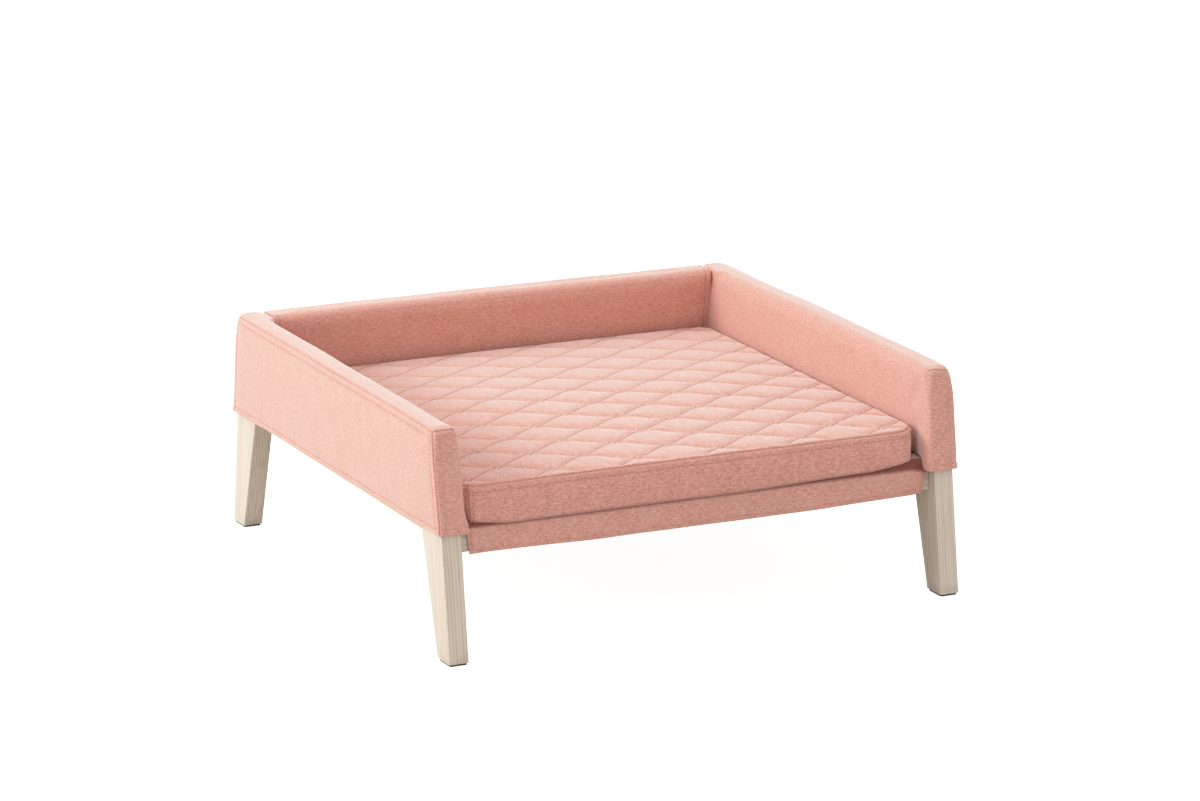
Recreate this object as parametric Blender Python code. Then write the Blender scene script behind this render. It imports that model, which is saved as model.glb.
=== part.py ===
"""Dog bed: a square wooden frame on four splayed legs, upholstered on three sides, with a loose
quilted mattress.

Frame: X across the width, the open side faces -Y, the back panel stands at +Y, +Z is up.
The origin is on the floor, under the middle of the bed. All sizes are in metres.
"""
import math

import bmesh
import bpy
from mathutils import Matrix, Vector

# ---- driving dimensions -------------------------------------------------------------------------
GAP = 0.0003                 # gap between touching pieces
WIDTH = 0.750                # over the outer faces of the legs
FOOT_Y = 0.375               # from the middle to the outer edge of a foot, at the floor
LEG_THICK = 0.028            # board thickness of legs and rails
LEG_FOOT = 0.038             # depth of a leg at the floor
SLOPE_OUT = 0.133            # lean of a leg's outer edge, in Y per Z
SLOPE_IN = 0.299             # lean of its inner edge, below the upholstery
FOOT_PAD = 0.0027            # felt under each foot
FRAME_LOW = 0.170            # underside of the panel frames
FRAME_TOP = 0.305            # top of the panel frames
RAIL_HIGH = 0.040            # height of the panel rails
BOARD = 0.003                # thin boards that close the panels
FRAME_ROUND = 0.0048         # rounding of the frame's top edges
END_ROUND = 0.008            # rounding of the posts' top outer corners
PAD_IN = 0.0003              # wadding, measured out from the frame
PAD_OUT = 0.0036
COVER_IN = 0.0039            # cover cloth, measured out from the frame
COVER_OUT = 0.0052
HEM = 0.1695                 # lower edge of the covers outside
DECK = 0.182                 # top of the front rail and of the slats
FRONT_RAIL_Y = -0.336        # front face of the front rail
FRONT_RAIL_LOW = 0.140
CLOTH = 0.0012               # deck cloth and band
SLATS = 8
SLAT_WIDE = 0.060
SLAT_THICK = 0.012
SLAT_FIRST = -0.272
SLAT_PITCH = 0.080
LEDGER_LOW = 0.155
MAT_X = 0.3395               # mattress, half width
MAT_FRONT = -0.3385
MAT_REAR = 0.302
MAT_LOW = 0.1838
MAT_TOP = 0.231
MAT_ROUND = 0.026            # upright corners
MAT_EDGE = 0.008             # top and bottom edges
MAT_CLOTH = 0.0013
ZIP_Z = 0.199
ZIP_HALF = 0.250
ZIP_HIGH = 0.0060
ZIP_PARK = 0.232             # where the slider stands when the cover is closed
BOLT_R = 0.003
HEAD_R = 0.0055
NUT_R = 0.005
NUT_HALF = 0.005             # half the length of a barrel nut
NUT_IN = 0.026               # barrel nut, from the end of its rail

LEG_IN = WIDTH / 2 - LEG_THICK
LEG_OUT = WIDTH / 2
BACK_THICK = LEG_THICK * math.sqrt(1 + SLOPE_OUT ** 2)
POST_IN = FOOT_Y - LEG_FOOT - SLOPE_IN * FRAME_LOW

# ---- start from an empty scene ------------------------------------------------------------------
for old in list(bpy.data.objects):
    bpy.data.objects.remove(old, do_unlink=True)


def material(name, rgb, roughness, metallic=0.0):
    mat = bpy.data.materials.new(name)
    mat.use_nodes = True
    shader = mat.node_tree.nodes["Principled BSDF"]
    shader.inputs["Base Color"].default_value = (rgb[0], rgb[1], rgb[2], 1.0)
    shader.inputs["Roughness"].default_value = roughness
    shader.inputs["Metallic"].default_value = metallic
    mat.diffuse_color = (rgb[0], rgb[1], rgb[2], 1.0)
    return mat


ASH = (0.72, 0.62, 0.52)
PINE = (0.62, 0.45, 0.28)
BOARD_TAN = (0.40, 0.27, 0.17)
ROSE = (0.72, 0.40, 0.32)
WADDING = (0.85, 0.84, 0.82)
FOAM = (0.86, 0.84, 0.74)
STEEL = (0.60, 0.60, 0.58)
FELT = (0.13, 0.11, 0.10)


def add(name, bm, mat_args, smooth=False):
    """Make an object from a bmesh, with a material of its own."""
    bmesh.ops.recalc_face_normals(bm, faces=bm.faces)
    mesh = bpy.data.meshes.new(name)
    bm.to_mesh(mesh)
    bm.free()
    if smooth:
        mesh.shade_smooth()
        mesh.set_sharp_from_angle(angle=math.radians(35))
    obj = bpy.data.objects.new(name, mesh)
    bpy.context.scene.collection.objects.link(obj)
    obj.data.materials.append(material("mat_" + name, *mat_args))
    return obj


def carve(obj, cutters, operation="DIFFERENCE"):
    """Subtract each cutter bmesh from the object, or keep what is inside it."""
    temps = []
    for index, bm in enumerate(cutters):
        bmesh.ops.recalc_face_normals(bm, faces=bm.faces)
        mesh = bpy.data.meshes.new("cutter")
        bm.to_mesh(mesh)
        bm.free()
        temp = bpy.data.objects.new("cutter", mesh)
        temp.hide_render = True
        temp.display_type = "WIRE"
        bpy.context.scene.collection.objects.link(temp)
        mod = obj.modifiers.new("cut_%d" % index, "BOOLEAN")
        mod.operation = operation
        mod.solver = "EXACT"
        mod.object = temp
        temps.append(temp)
    deps = bpy.context.evaluated_depsgraph_get()
    result = bpy.data.meshes.new_from_object(obj.evaluated_get(deps))
    obj.modifiers.clear()
    obj.data = result
    for temp in temps:
        bpy.data.objects.remove(temp, do_unlink=True)
    return obj


def place(axis, u, v, w):
    """A point from its two section coordinates and its place along the extrusion axis."""
    if axis == "x":
        return Vector((w, u, v))
    if axis == "y":
        return Vector((u, w, v))
    return Vector((u, v, w))


def prism(points, axis, low, high, bm=None):
    """Extrude a section between two places on an axis. Sections are (y,z), (x,z) or (x,y)."""
    bm = bm or bmesh.new()
    ends = []
    for w in (low, high):
        ends.append([bm.verts.new(place(axis, u, v, w)) for u, v in points])
    bm.faces.new(ends[0])
    bm.faces.new(list(reversed(ends[1])))
    count = len(points)
    for i in range(count):
        j = (i + 1) % count
        bm.faces.new((ends[0][i], ends[0][j], ends[1][j], ends[1][i]))
    return bm


def box(x0, x1, y0, y1, z0, z1, bm=None):
    return prism([(x0, y0), (x1, y0), (x1, y1), (x0, y1)], "z", z0, z1, bm)


def soften(bm, width, pick=None, segments=2):
    """Round the edges that pick chooses, or all of them."""
    edges = [e for e in bm.edges if pick is None or pick(e)]
    bmesh.ops.bevel(bm, geom=edges, offset=width, offset_type="OFFSET", segments=segments,
                    profile=0.5, affect="EDGES", clamp_overlap=True)
    return bm


def arc(cu, cv, radius, start, end, steps):
    """Points of an arc, angles in degrees."""
    out = []
    for i in range(steps + 1):
        a = math.radians(start + (end - start) * i / steps)
        out.append((cu + radius * math.cos(a), cv + radius * math.sin(a)))
    return out


def rod(axis, u, v, low, high, radius, sides=16):
    """A round bar along an axis."""
    ring = []
    for i in range(sides):
        a = 2 * math.pi * i / sides
        ring.append((u + radius * math.cos(a), v + radius * math.sin(a)))
    return prism(ring, axis, low, high)


def back_point(inward, z):
    """(y, z) of a point in the leaning back panel, measured inward from its outer face."""
    return (FOOT_Y - SLOPE_OUT * z - inward, z)


# ---- legs and feet ------------------------------------------------------------------------------
def bolt_places():
    """Name, y and z of the bolts on each side. They run along X."""
    low_y = back_point(BACK_THICK / 2, FRAME_LOW + 0.020)[0]
    top_y = back_point(BACK_THICK / 2, FRAME_TOP - 0.022)[0]
    return [
        ("front", FRONT_RAIL_Y + LEG_THICK / 2, FRAME_LOW + 0.0058),
        ("back_low", low_y, FRAME_LOW + 0.020),
        ("back_top", top_y, FRAME_TOP - 0.022),
    ]


def leg_section(sign):
    """Tapered leg that goes on up as the end post of the side panel."""
    foot = FOOT_PAD + GAP
    points = [
        (FOOT_Y - SLOPE_OUT * foot, foot),
        (FOOT_Y - SLOPE_OUT * FRAME_TOP, FRAME_TOP),
        (POST_IN, FRAME_TOP),
        (POST_IN, FRAME_LOW),
        (FOOT_Y - LEG_FOOT - SLOPE_IN * foot, foot),
    ]
    return [(sign * y, z) for y, z in points]


def side_rings(off, low, side):
    """Rings of points round a side panel, offset outward from its frame, from front to rear."""
    k = math.sqrt(1 + SLOPE_OUT ** 2)
    r = FRAME_ROUND + off
    end_r = END_ROUND + off
    x0, x1 = LEG_IN - off, LEG_OUT + off
    drops = []
    for a in (0, 30, 60, 90):
        s, c = math.sin(math.radians(a)), math.cos(math.radians(a))
        drops.append((end_r * (1 - c), end_r * (1 - s)))
    rings = []
    for sign in (-1, 1):
        rows = drops if sign < 0 else list(reversed(drops))
        for inset, drop in rows:
            top = FRAME_TOP + off - drop
            section = [(x0, low)]
            section += arc(x0 + r, top - r, r, 180, 90, 4)
            section += arc(x1 - r, top - r, r, 90, 0, 4)
            section.append((x1, low))
            ring = []
            for x, z in section:
                y = FOOT_Y - SLOPE_OUT * z + off * k - inset
                ring.append(Vector((side * x, sign * y, z)))
            rings.append(ring)
    return rings


def rounding(side):
    """Closed envelope of a side panel, which rounds the tops of its posts."""
    bm = bmesh.new()
    rows = [[bm.verts.new(p) for p in ring] for ring in side_rings(0.0001, -0.010, side)]
    count = len(rows[0])
    bm.faces.new(rows[0])
    bm.faces.new(rows[-1])
    for row_a, row_b in zip(rows, rows[1:]):
        for i in range(count):
            j = (i + 1) % count
            bm.faces.new((row_a[i], row_a[j], row_b[j], row_b[i]))
    return bm


def make_leg(name, side, sign):
    low, high = sorted((side * LEG_IN, side * LEG_OUT))
    bm = prism(leg_section(sign), "x", low, high)

    def long_edge(e):
        mid = (e.verts[0].co + e.verts[1].co) / 2
        flat = abs(e.verts[0].co.x - e.verts[1].co.x) < 1e-6
        return flat and 0.01 < mid.z < FRAME_TOP - 0.0001

    soften(bm, 0.0015, long_edge)
    obj = add(name, bm, (ASH, 0.55), smooth=True)
    carve(obj, [rounding(side)], "INTERSECT")
    cutters = []
    for place_name, y, z in bolt_places():
        rear = place_name != "front"
        if rear != (sign > 0):
            continue
        through = sorted((side * (LEG_IN - 0.002), side * (LEG_OUT + 0.002)))
        sink = sorted((side * (LEG_OUT - 0.0046), side * (LEG_OUT + 0.003)))
        cutters.append(rod("x", y, z, through[0], through[1], BOLT_R + GAP))
        cutters.append(rod("x", y, z, sink[0], sink[1], HEAD_R + GAP))
    return carve(obj, cutters)


def make_foot_pad(name, side, sign):
    x_mid = side * (LEG_IN + LEG_OUT) / 2
    y_mid = sign * (FOOT_Y - LEG_FOOT / 2 - SLOPE_OUT * 0.002)
    half_x, half_y, r = 0.0125, 0.0172, 0.003
    points = []
    for cx, cy, start in ((1, 1, 0), (-1, 1, 90), (-1, -1, 180), (1, -1, 270)):
        points += arc(x_mid + cx * (half_x - r), y_mid + cy * (half_y - r), r, start, start + 90, 3)
    return add(name, prism(points, "z", 0.0, FOOT_PAD), (FELT, 0.95))


# ---- side and back frames -----------------------------------------------------------------------
def rebated(side_a, side_b, rebate):
    """Top rail section as (across, z): full width at the top, thinner where the boards lie."""
    low = FRAME_TOP - RAIL_HIGH
    step = FRAME_TOP - 0.010
    r = FRAME_ROUND
    points = [(side_a + rebate, low), (side_b - rebate, low), (side_b - rebate, step), (side_b, step)]
    points += arc(side_b - r, FRAME_TOP - r, r, 0, 90, 3)
    points += arc(side_a + r, FRAME_TOP - r, r, 90, 180, 3)
    points += [(side_a, step), (side_a + rebate, step)]
    return points


def make_side_frame(word, side):
    reach = POST_IN - GAP
    rebate = BOARD + GAP
    section = rebated(LEG_IN, LEG_OUT, rebate)
    section = [(side * x, z) for x, z in section]
    add("side_top_rail_" + word, prism(section, "y", -reach, reach), (PINE, 0.7), smooth=True)
    x0, x1 = sorted((side * (LEG_IN + rebate), side * (LEG_OUT - rebate)))
    add("side_bottom_rail_" + word,
        box(x0, x1, -reach, reach, FRAME_LOW, FRAME_LOW + RAIL_HIGH), (PINE, 0.7))
    for kind, near in (("outer", LEG_OUT - BOARD), ("inner", LEG_IN)):
        x0, x1 = sorted((side * near, side * (near + BOARD)))
        add("side_board_%s_%s" % (kind, word),
            box(x0, x1, -reach, reach, FRAME_LOW, FRAME_TOP - 0.010 - GAP), (BOARD_TAN, 0.8))


def make_back_frame():
    reach = LEG_IN - GAP
    rebate = BOARD + GAP
    top = [back_point(t, z) for t, z in rebated(0.0, BACK_THICK, rebate)]
    low_rail = [
        back_point(rebate, FRAME_LOW),
        back_point(BACK_THICK - rebate, FRAME_LOW),
        back_point(BACK_THICK - rebate, FRAME_LOW + RAIL_HIGH),
        back_point(rebate, FRAME_LOW + RAIL_HIGH),
    ]
    rails = {"back_low": low_rail, "back_top": top}
    names = {"back_low": "back_bottom_rail", "back_top": "back_top_rail"}
    for key, y, z in bolt_places():
        if key == "front":
            continue
        bottom = FRAME_LOW if key == "back_low" else FRAME_TOP - RAIL_HIGH
        obj = add(names[key], prism(rails[key], "x", -reach, reach), (PINE, 0.7), smooth=True)
        carve(obj, rail_cutters(y, z, reach, bottom))
    for kind, near in (("outer", 0.0), ("inner", BACK_THICK - BOARD)):
        z1 = FRAME_TOP - 0.010 - GAP
        section = [
            back_point(near, FRAME_LOW),
            back_point(near + BOARD, FRAME_LOW),
            back_point(near + BOARD, z1),
            back_point(near, z1),
        ]
        add("back_board_" + kind, prism(section, "x", -reach, reach), (BOARD_TAN, 0.8))


def rail_cutters(y, z, reach, bottom):
    """Bolt hole and barrel nut hole at both ends of a rail."""
    cutters = []
    for side in (-1, 1):
        ends = sorted((side * (reach - 0.042), side * (reach + 0.004)))
        cutters.append(rod("x", y, z, ends[0], ends[1], BOLT_R + GAP))
        cutters.append(rod("z", side * (reach - NUT_IN), y, bottom - 0.003, z + NUT_HALF + GAP,
                           NUT_R + GAP))
    return cutters


def make_front_rail():
    reach = LEG_IN - GAP
    bm = box(-reach, reach, FRONT_RAIL_Y, FRONT_RAIL_Y + LEG_THICK, FRONT_RAIL_LOW, DECK)

    def long_edge(e):
        return abs(e.verts[0].co.x - e.verts[1].co.x) > 0.1

    soften(bm, 0.0015, long_edge)
    obj = add("front_rail", bm, (ASH, 0.55), smooth=True)
    name, y, z = bolt_places()[0]
    return carve(obj, rail_cutters(y, z, reach, FRONT_RAIL_LOW))


def make_fastener(key, y, z, word, side):
    """Connector bolt with a hexagon socket, and the barrel nut that it screws into."""
    head = 0.0040
    outer = LEG_OUT - 0.0003
    nut_x = LEG_IN - GAP - NUT_IN
    ring = []
    for x, r in ((nut_x - 0.010, BOLT_R), (outer - head, BOLT_R), (outer - head, HEAD_R),
                 (outer, HEAD_R)):
        ring.append((x, r))
    bm = bmesh.new()
    sides = 16
    rows = []
    for x, r in ring:
        row = []
        for i in range(sides):
            a = 2 * math.pi * i / sides
            row.append(bm.verts.new((side * x, y + r * math.cos(a), z + r * math.sin(a))))
        rows.append(row)
    bm.faces.new(rows[0])
    bm.faces.new(rows[-1])
    for row_a, row_b in zip(rows, rows[1:]):
        for i in range(sides):
            j = (i + 1) % sides
            bm.faces.new((row_a[i], row_a[j], row_b[j], row_b[i]))
    bolt = add("bolt_%s_%s" % (key, word), bm, (STEEL, 0.35, 1.0), smooth=True)
    ends = sorted((side * (outer - 0.0026), side * (outer + 0.002)))
    carve(bolt, [rod("x", y, z, ends[0], ends[1], 0.0023, 6)])
    nut = add("barrel_nut_%s_%s" % (key, word),
              rod("z", side * nut_x, y, z - NUT_HALF, z + NUT_HALF, NUT_R), (STEEL, 0.4, 1.0),
              smooth=True)
    carve(nut, [rod("x", y, z, side * nut_x - 0.01, side * nut_x + 0.01, BOLT_R + GAP)])


# ---- deck ---------------------------------------------------------------------------------------
def make_deck():
    reach = POST_IN - GAP
    for word, side in (("left", -1), ("right", 1)):
        x0, x1 = sorted((side * 0.327, side * 0.362))
        add("deck_ledger_" + word,
            box(x0, x1, -reach, reach, LEDGER_LOW, FRAME_LOW - GAP), (PINE, 0.7))
    for i in range(SLATS):
        y = SLAT_FIRST + SLAT_PITCH * i
        bm = box(-0.342, 0.342, y - SLAT_WIDE / 2, y + SLAT_WIDE / 2, DECK - SLAT_THICK, DECK)
        soften(bm, 0.001, None, 1)
        add("slat_%d" % (i + 1), bm, (PINE, 0.7))
    rear = back_point(BACK_THICK + PAD_OUT + GAP, DECK + 0.002)[0]
    front = FRONT_RAIL_Y + LEG_THICK + GAP
    z0 = DECK + GAP
    cloth_x = LEG_IN - COVER_OUT - GAP
    add("deck_cloth", box(-cloth_x, cloth_x, front, rear, z0, z0 + CLOTH), (ROSE, 0.9))


def make_front_band():
    """Cloth sleeve over the front rail: its front, top and a turn-under below."""
    y0 = FRONT_RAIL_Y - GAP
    y1 = FRONT_RAIL_Y + LEG_THICK
    z0 = FRONT_RAIL_LOW - GAP
    z1 = DECK + GAP
    c = CLOTH
    section = [
        (y1, z1), (y1, z1 + c), (y0 - c + 0.002, z1 + c), (y0 - c, z1 + c - 0.002),
        (y0 - c, z0 - c + 0.002), (y0 - c + 0.002, z0 - c), (y1 - 0.004, z0 - c),
        (y1 - 0.004, z0), (y0, z0), (y0, z1),
    ]
    add("front_band", prism(section, "x", -0.332, 0.336), (ROSE, 0.9))


# ---- wadding and covers of the three panels -----------------------------------------------------
def make_side_shell(name, side, off_in, off_out, low, inner_low, wall_clear, back_clear, look):
    """Inverted-U skin over a side panel, closed at both ends and open below."""
    bm = bmesh.new()
    outer = [[bm.verts.new(p) for p in ring] for ring in side_rings(off_out, low, side)]
    inner = [[bm.verts.new(p) for p in ring] for ring in side_rings(off_in, low, side)]
    for rings in (outer, inner):
        for ring_a, ring_b in zip(rings, rings[1:]):
            for i in range(len(ring_a) - 1):
                bm.faces.new((ring_a[i], ring_a[i + 1], ring_b[i + 1], ring_b[i]))
        bm.faces.new(rings[0])
        bm.faces.new(rings[-1])
    for k in range(len(outer) - 1):
        for i in (0, -1):
            bm.faces.new((outer[k][i], outer[k + 1][i], inner[k + 1][i], inner[k][i]))
    for k in (0, -1):
        bm.faces.new((outer[k][0], outer[k][-1], inner[k][-1], inner[k][0]))
    obj = add(name, bm, look, smooth=True)
    wall = LEG_IN - off_in + wall_clear
    x0, x1 = sorted((side * 0.300, side * wall))
    low_cut = box(x0, x1, FRONT_RAIL_Y - 0.0006, 0.400, 0.100, inner_low)
    t0, t1 = -back_clear + 0.00015, BACK_THICK + back_clear
    z1 = FRAME_TOP + back_clear - 0.0001
    section = [back_point(t0, 0.120), back_point(t1, 0.120), back_point(t1, z1), back_point(t0, z1)]
    x0, x1 = sorted((side * 0.300, side * LEG_IN))
    return carve(obj, [low_cut, prism(section, "x", x0, x1)])


def make_back_shell(name, reach, off_in, off_out, low, inner_low, look):
    """Inverted-U skin over the back panel, which meets the side panels at its ends."""
    def path(off, steps=4):
        r = FRAME_ROUND + off
        top = FRAME_TOP + off
        a, b = -off, BACK_THICK + off
        points = [(a, low)] + arc(a + r, top - r, r, 180, 90, steps)
        points += arc(b - r, top - r, r, 90, 0, steps) + [(b, inner_low)]
        return points

    section = path(off_out) + list(reversed(path(off_in)))
    section = [back_point(t, z) for t, z in section]
    return add(name, prism(section, "x", -reach, reach), look, smooth=True)


# ---- mattress -----------------------------------------------------------------------------------
def rounded_block(inset):
    """Block with round upright corners and round top and bottom edges, inset all round."""
    bm = bmesh.new()
    x, y0, y1 = MAT_X - inset, MAT_FRONT + inset, MAT_REAR - inset
    z0, z1 = MAT_LOW + inset, MAT_TOP - inset
    edge = MAT_EDGE - inset
    levels = []
    for a in (0, 30, 60, 90):
        s, c = math.sin(math.radians(a)), math.cos(math.radians(a))
        levels.append((edge * (1 - s), z0 + edge * (1 - c)))
    levels += [(i, z0 + z1 - z) for i, z in reversed(levels)]
    rows = []
    for pull, z in levels:
        r = MAT_ROUND - inset - pull
        row = []
        for cx, cy, start in ((1, 1, 0), (-1, 1, 90), (-1, -1, 180), (1, -1, 270)):
            mid_x = cx * (x - pull - r)
            mid_y = (y1 - pull - r) if cy > 0 else (y0 + pull + r)
            row += [bm.verts.new((px, py, z)) for px, py in arc(mid_x, mid_y, r, start, start + 90, 5)]
        rows.append(row)
    bm.faces.new(rows[0])
    bm.faces.new(rows[-1])
    count = len(rows[0])
    for row_a, row_b in zip(rows, rows[1:]):
        for i in range(count):
            j = (i + 1) % count
            bm.faces.new((row_a[i], row_a[j], row_b[j], row_b[i]))
    return bm


def make_mattress():
    root = bpy.data.objects.new("mattress", None)
    root.location = (0.0, 0.0, MAT_LOW)
    bpy.context.scene.collection.objects.link(root)
    foam = add("mattress_foam", rounded_block(MAT_CLOTH + GAP), (FOAM, 0.9), smooth=True)
    cover = add("mattress_cover", rounded_block(0.0), (ROSE, 0.9), smooth=True)
    half_z = ZIP_HIGH / 2
    slot = box(-ZIP_HALF, ZIP_HALF, MAT_REAR - MAT_CLOTH - 0.0002, MAT_REAR + 0.002,
               ZIP_Z - half_z, ZIP_Z + half_z)
    carve(cover, [rounded_block(MAT_CLOTH), slot])
    chain = add("mattress_zip_chain", zip_chain(), ((0.55, 0.30, 0.25), 0.6))
    for obj in (foam, cover, chain):
        obj.parent = root
        obj.matrix_parent_inverse = Matrix.Translation((0.0, 0.0, -MAT_LOW))
    make_zip_slider(root)


def zip_chain():
    """Zip tape in the slot, with the raised row of teeth along its middle."""
    half = ZIP_HALF - GAP
    y0 = MAT_REAR - MAT_CLOTH
    y1 = MAT_REAR - 0.0004
    z = ZIP_HIGH / 2 - GAP
    section = [
        (y0, ZIP_Z - z), (y1, ZIP_Z - z), (y1, ZIP_Z - 0.0015), (y1 + 0.0008, ZIP_Z - 0.0010),
        (y1 + 0.0008, ZIP_Z + 0.0010), (y1, ZIP_Z + 0.0015), (y1, ZIP_Z + z), (y0, ZIP_Z + z),
    ]
    return prism(section, "x", -half, half)


def make_zip_slider(root):
    """Slider that runs along the zip, and its pull, which flips over from one end to the other."""
    x = ZIP_PARK
    face = MAT_REAR + 0.0007
    plate = face + 0.0018
    outline = [
        (x - 0.0055, ZIP_Z - 0.0030), (x + 0.0055, ZIP_Z - 0.0042),
        (x + 0.0055, ZIP_Z + 0.0042), (x - 0.0055, ZIP_Z + 0.0030),
    ]
    body = add("mattress_zip_slider", prism([(a, b) for a, b in outline], "y", face, plate),
               (STEEL, 0.35, 1.0))
    crown = bmesh.new()
    arch = [
        (x - 0.0036, plate - 0.0003), (x - 0.0036, plate + 0.0014), (x - 0.0028, plate + 0.0022),
        (x + 0.0028, plate + 0.0022), (x + 0.0036, plate + 0.0014), (x + 0.0036, plate - 0.0003),
        (x + 0.0027, plate - 0.0003), (x + 0.0027, plate + 0.0013), (x - 0.0027, plate + 0.0013),
        (x - 0.0027, plate - 0.0003),
    ]
    prism(arch, "z", ZIP_Z - 0.0010, ZIP_Z + 0.0010, crown)
    fuse(body, crown)
    carrier = bpy.data.objects.new("zip_carrier", None)
    carrier.location = (x, face, ZIP_Z)
    carrier.parent = root
    carrier.matrix_parent_inverse = Matrix.Translation((0.0, 0.0, -MAT_LOW))
    bpy.context.scene.collection.objects.link(carrier)
    body.parent = carrier
    body.matrix_parent_inverse = Matrix.Translation((-x, -face, -ZIP_Z))
    axis_y = plate + 0.00065
    tab = [
        (x - 0.0003, ZIP_Z - 0.0023), (x + 0.0050, ZIP_Z - 0.0023), (x + 0.0060, ZIP_Z - 0.0030),
        (x + 0.0082, ZIP_Z - 0.0030), (x + 0.0090, ZIP_Z - 0.0022), (x + 0.0090, ZIP_Z + 0.0022),
        (x + 0.0082, ZIP_Z + 0.0030), (x + 0.0060, ZIP_Z + 0.0030), (x + 0.0050, ZIP_Z + 0.0023),
        (x - 0.0003, ZIP_Z + 0.0023),
    ]
    pull = add("mattress_zip_pull", prism(tab, "y", axis_y - 0.0003, axis_y + 0.0003),
               (STEEL, 0.35, 1.0))
    carve(pull, [box(x + 0.00035, x + 0.0040, axis_y - 0.002, axis_y + 0.002,
                     ZIP_Z - 0.0014, ZIP_Z + 0.0014)])
    hinge = bpy.data.objects.new("zip_pull_hinge", None)
    hinge.location = (x, axis_y, ZIP_Z)
    bpy.context.scene.collection.objects.link(hinge)
    hinge.parent = carrier
    hinge.matrix_parent_inverse = Matrix.Translation((-x, -face, -ZIP_Z))
    pull.parent = hinge
    pull.matrix_parent_inverse = Matrix.Translation((-x, -axis_y, -ZIP_Z))


def fuse(obj, bm):
    """Union one more shape into an object."""
    bmesh.ops.recalc_face_normals(bm, faces=bm.faces)
    mesh = bpy.data.meshes.new("extra")
    bm.to_mesh(mesh)
    bm.free()
    extra = bpy.data.objects.new("extra", mesh)
    bpy.context.scene.collection.objects.link(extra)
    mod = obj.modifiers.new("join", "BOOLEAN")
    mod.operation = "UNION"
    mod.solver = "EXACT"
    mod.object = extra
    deps = bpy.context.evaluated_depsgraph_get()
    result = bpy.data.meshes.new_from_object(obj.evaluated_get(deps))
    obj.modifiers.clear()
    obj.data = result
    bpy.data.objects.remove(extra, do_unlink=True)


# ---- build --------------------------------------------------------------------------------------
SIDES = (("left", -1), ("right", 1))
for side_word, side_sign in SIDES:
    for end_word, end_sign in (("front", -1), ("rear", 1)):
        make_leg("leg_%s_%s" % (end_word, side_word), side_sign, end_sign)
        make_foot_pad("foot_pad_%s_%s" % (end_word, side_word), side_sign, end_sign)
    make_side_frame(side_word, side_sign)
    for bolt_key, bolt_y, bolt_z in bolt_places():
        make_fastener(bolt_key, bolt_y, bolt_z, side_word, side_sign)
    make_side_shell("padding_" + side_word, side_sign, PAD_IN, PAD_OUT, FRAME_LOW + 0.0005,
                    DECK + 0.0006, 0.0002, 0.0003, (WADDING, 0.95))
    make_side_shell("cover_" + side_word, side_sign, COVER_IN, COVER_OUT, HEM,
                    DECK + GAP + CLOTH + GAP, 0.0003, COVER_IN, (ROSE, 0.9))
make_back_frame()
make_back_shell("padding_back", LEG_IN - COVER_IN, PAD_IN, PAD_OUT, FRAME_LOW + 0.0005,
                FRAME_LOW + 0.0005, (WADDING, 0.95))
make_back_shell("cover_back", LEG_IN - COVER_OUT - GAP, COVER_IN, COVER_OUT, HEM,
                DECK + GAP + CLOTH + GAP, (ROSE, 0.9))
make_front_rail()
make_deck()
make_front_band()
make_mattress()
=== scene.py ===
import math

import bpy
import numpy as np
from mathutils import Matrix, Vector


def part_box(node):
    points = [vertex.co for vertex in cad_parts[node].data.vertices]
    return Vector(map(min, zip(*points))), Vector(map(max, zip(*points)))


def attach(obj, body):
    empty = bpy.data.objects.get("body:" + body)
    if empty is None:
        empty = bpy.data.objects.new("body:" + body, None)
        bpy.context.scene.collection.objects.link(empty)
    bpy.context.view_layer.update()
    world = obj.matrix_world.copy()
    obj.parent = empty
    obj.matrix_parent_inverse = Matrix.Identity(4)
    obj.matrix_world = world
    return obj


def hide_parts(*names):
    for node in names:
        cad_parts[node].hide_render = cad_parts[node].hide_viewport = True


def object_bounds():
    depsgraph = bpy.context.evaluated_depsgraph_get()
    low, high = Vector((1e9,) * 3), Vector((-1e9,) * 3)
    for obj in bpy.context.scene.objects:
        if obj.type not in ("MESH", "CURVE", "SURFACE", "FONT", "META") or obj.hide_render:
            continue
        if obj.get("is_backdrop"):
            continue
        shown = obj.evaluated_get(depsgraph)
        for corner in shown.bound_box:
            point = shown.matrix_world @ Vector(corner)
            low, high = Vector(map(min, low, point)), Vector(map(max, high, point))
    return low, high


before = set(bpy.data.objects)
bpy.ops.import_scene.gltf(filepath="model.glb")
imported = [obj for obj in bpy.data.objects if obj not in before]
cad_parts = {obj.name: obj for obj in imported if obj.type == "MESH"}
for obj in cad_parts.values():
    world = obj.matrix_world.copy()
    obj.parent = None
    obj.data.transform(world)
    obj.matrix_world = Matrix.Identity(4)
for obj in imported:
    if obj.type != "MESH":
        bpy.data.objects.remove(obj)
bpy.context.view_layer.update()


# Legs and front rail.
# Four tapered legs of ash, sawn from 28 mm board, splayed fore and aft and rubbed with a pale
# wash, and the rail that joins the front pair, planed from the same board and bolted between them.

LEG_LEAN = 0.133


def put(tree, kind, inputs=None, **settings):
    """Adds a node, sets its options, and joins or sets each of its inputs."""
    node = tree.nodes.new(kind)
    for key, value in settings.items():
        setattr(node, key, value)
    for key, value in (inputs or {}).items():
        if isinstance(value, bpy.types.NodeSocket):
            tree.links.new(value, node.inputs[key])
        else:
            node.inputs[key].default_value = value
    return node


def sums(tree, operation, a, b=0.0, c=0.0):
    return put(tree, "ShaderNodeMath", {0: a, 1: b, 2: c}, operation=operation).outputs[0]


def between(tree, value, low, high, to_low=0.0, to_high=1.0):
    return put(
        tree,
        "ShaderNodeMapRange",
        {"Value": value, "From Min": low, "From Max": high, "To Min": to_low, "To Max": to_high},
        interpolation_type="SMOOTHSTEP",
    ).outputs[0]


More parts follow.
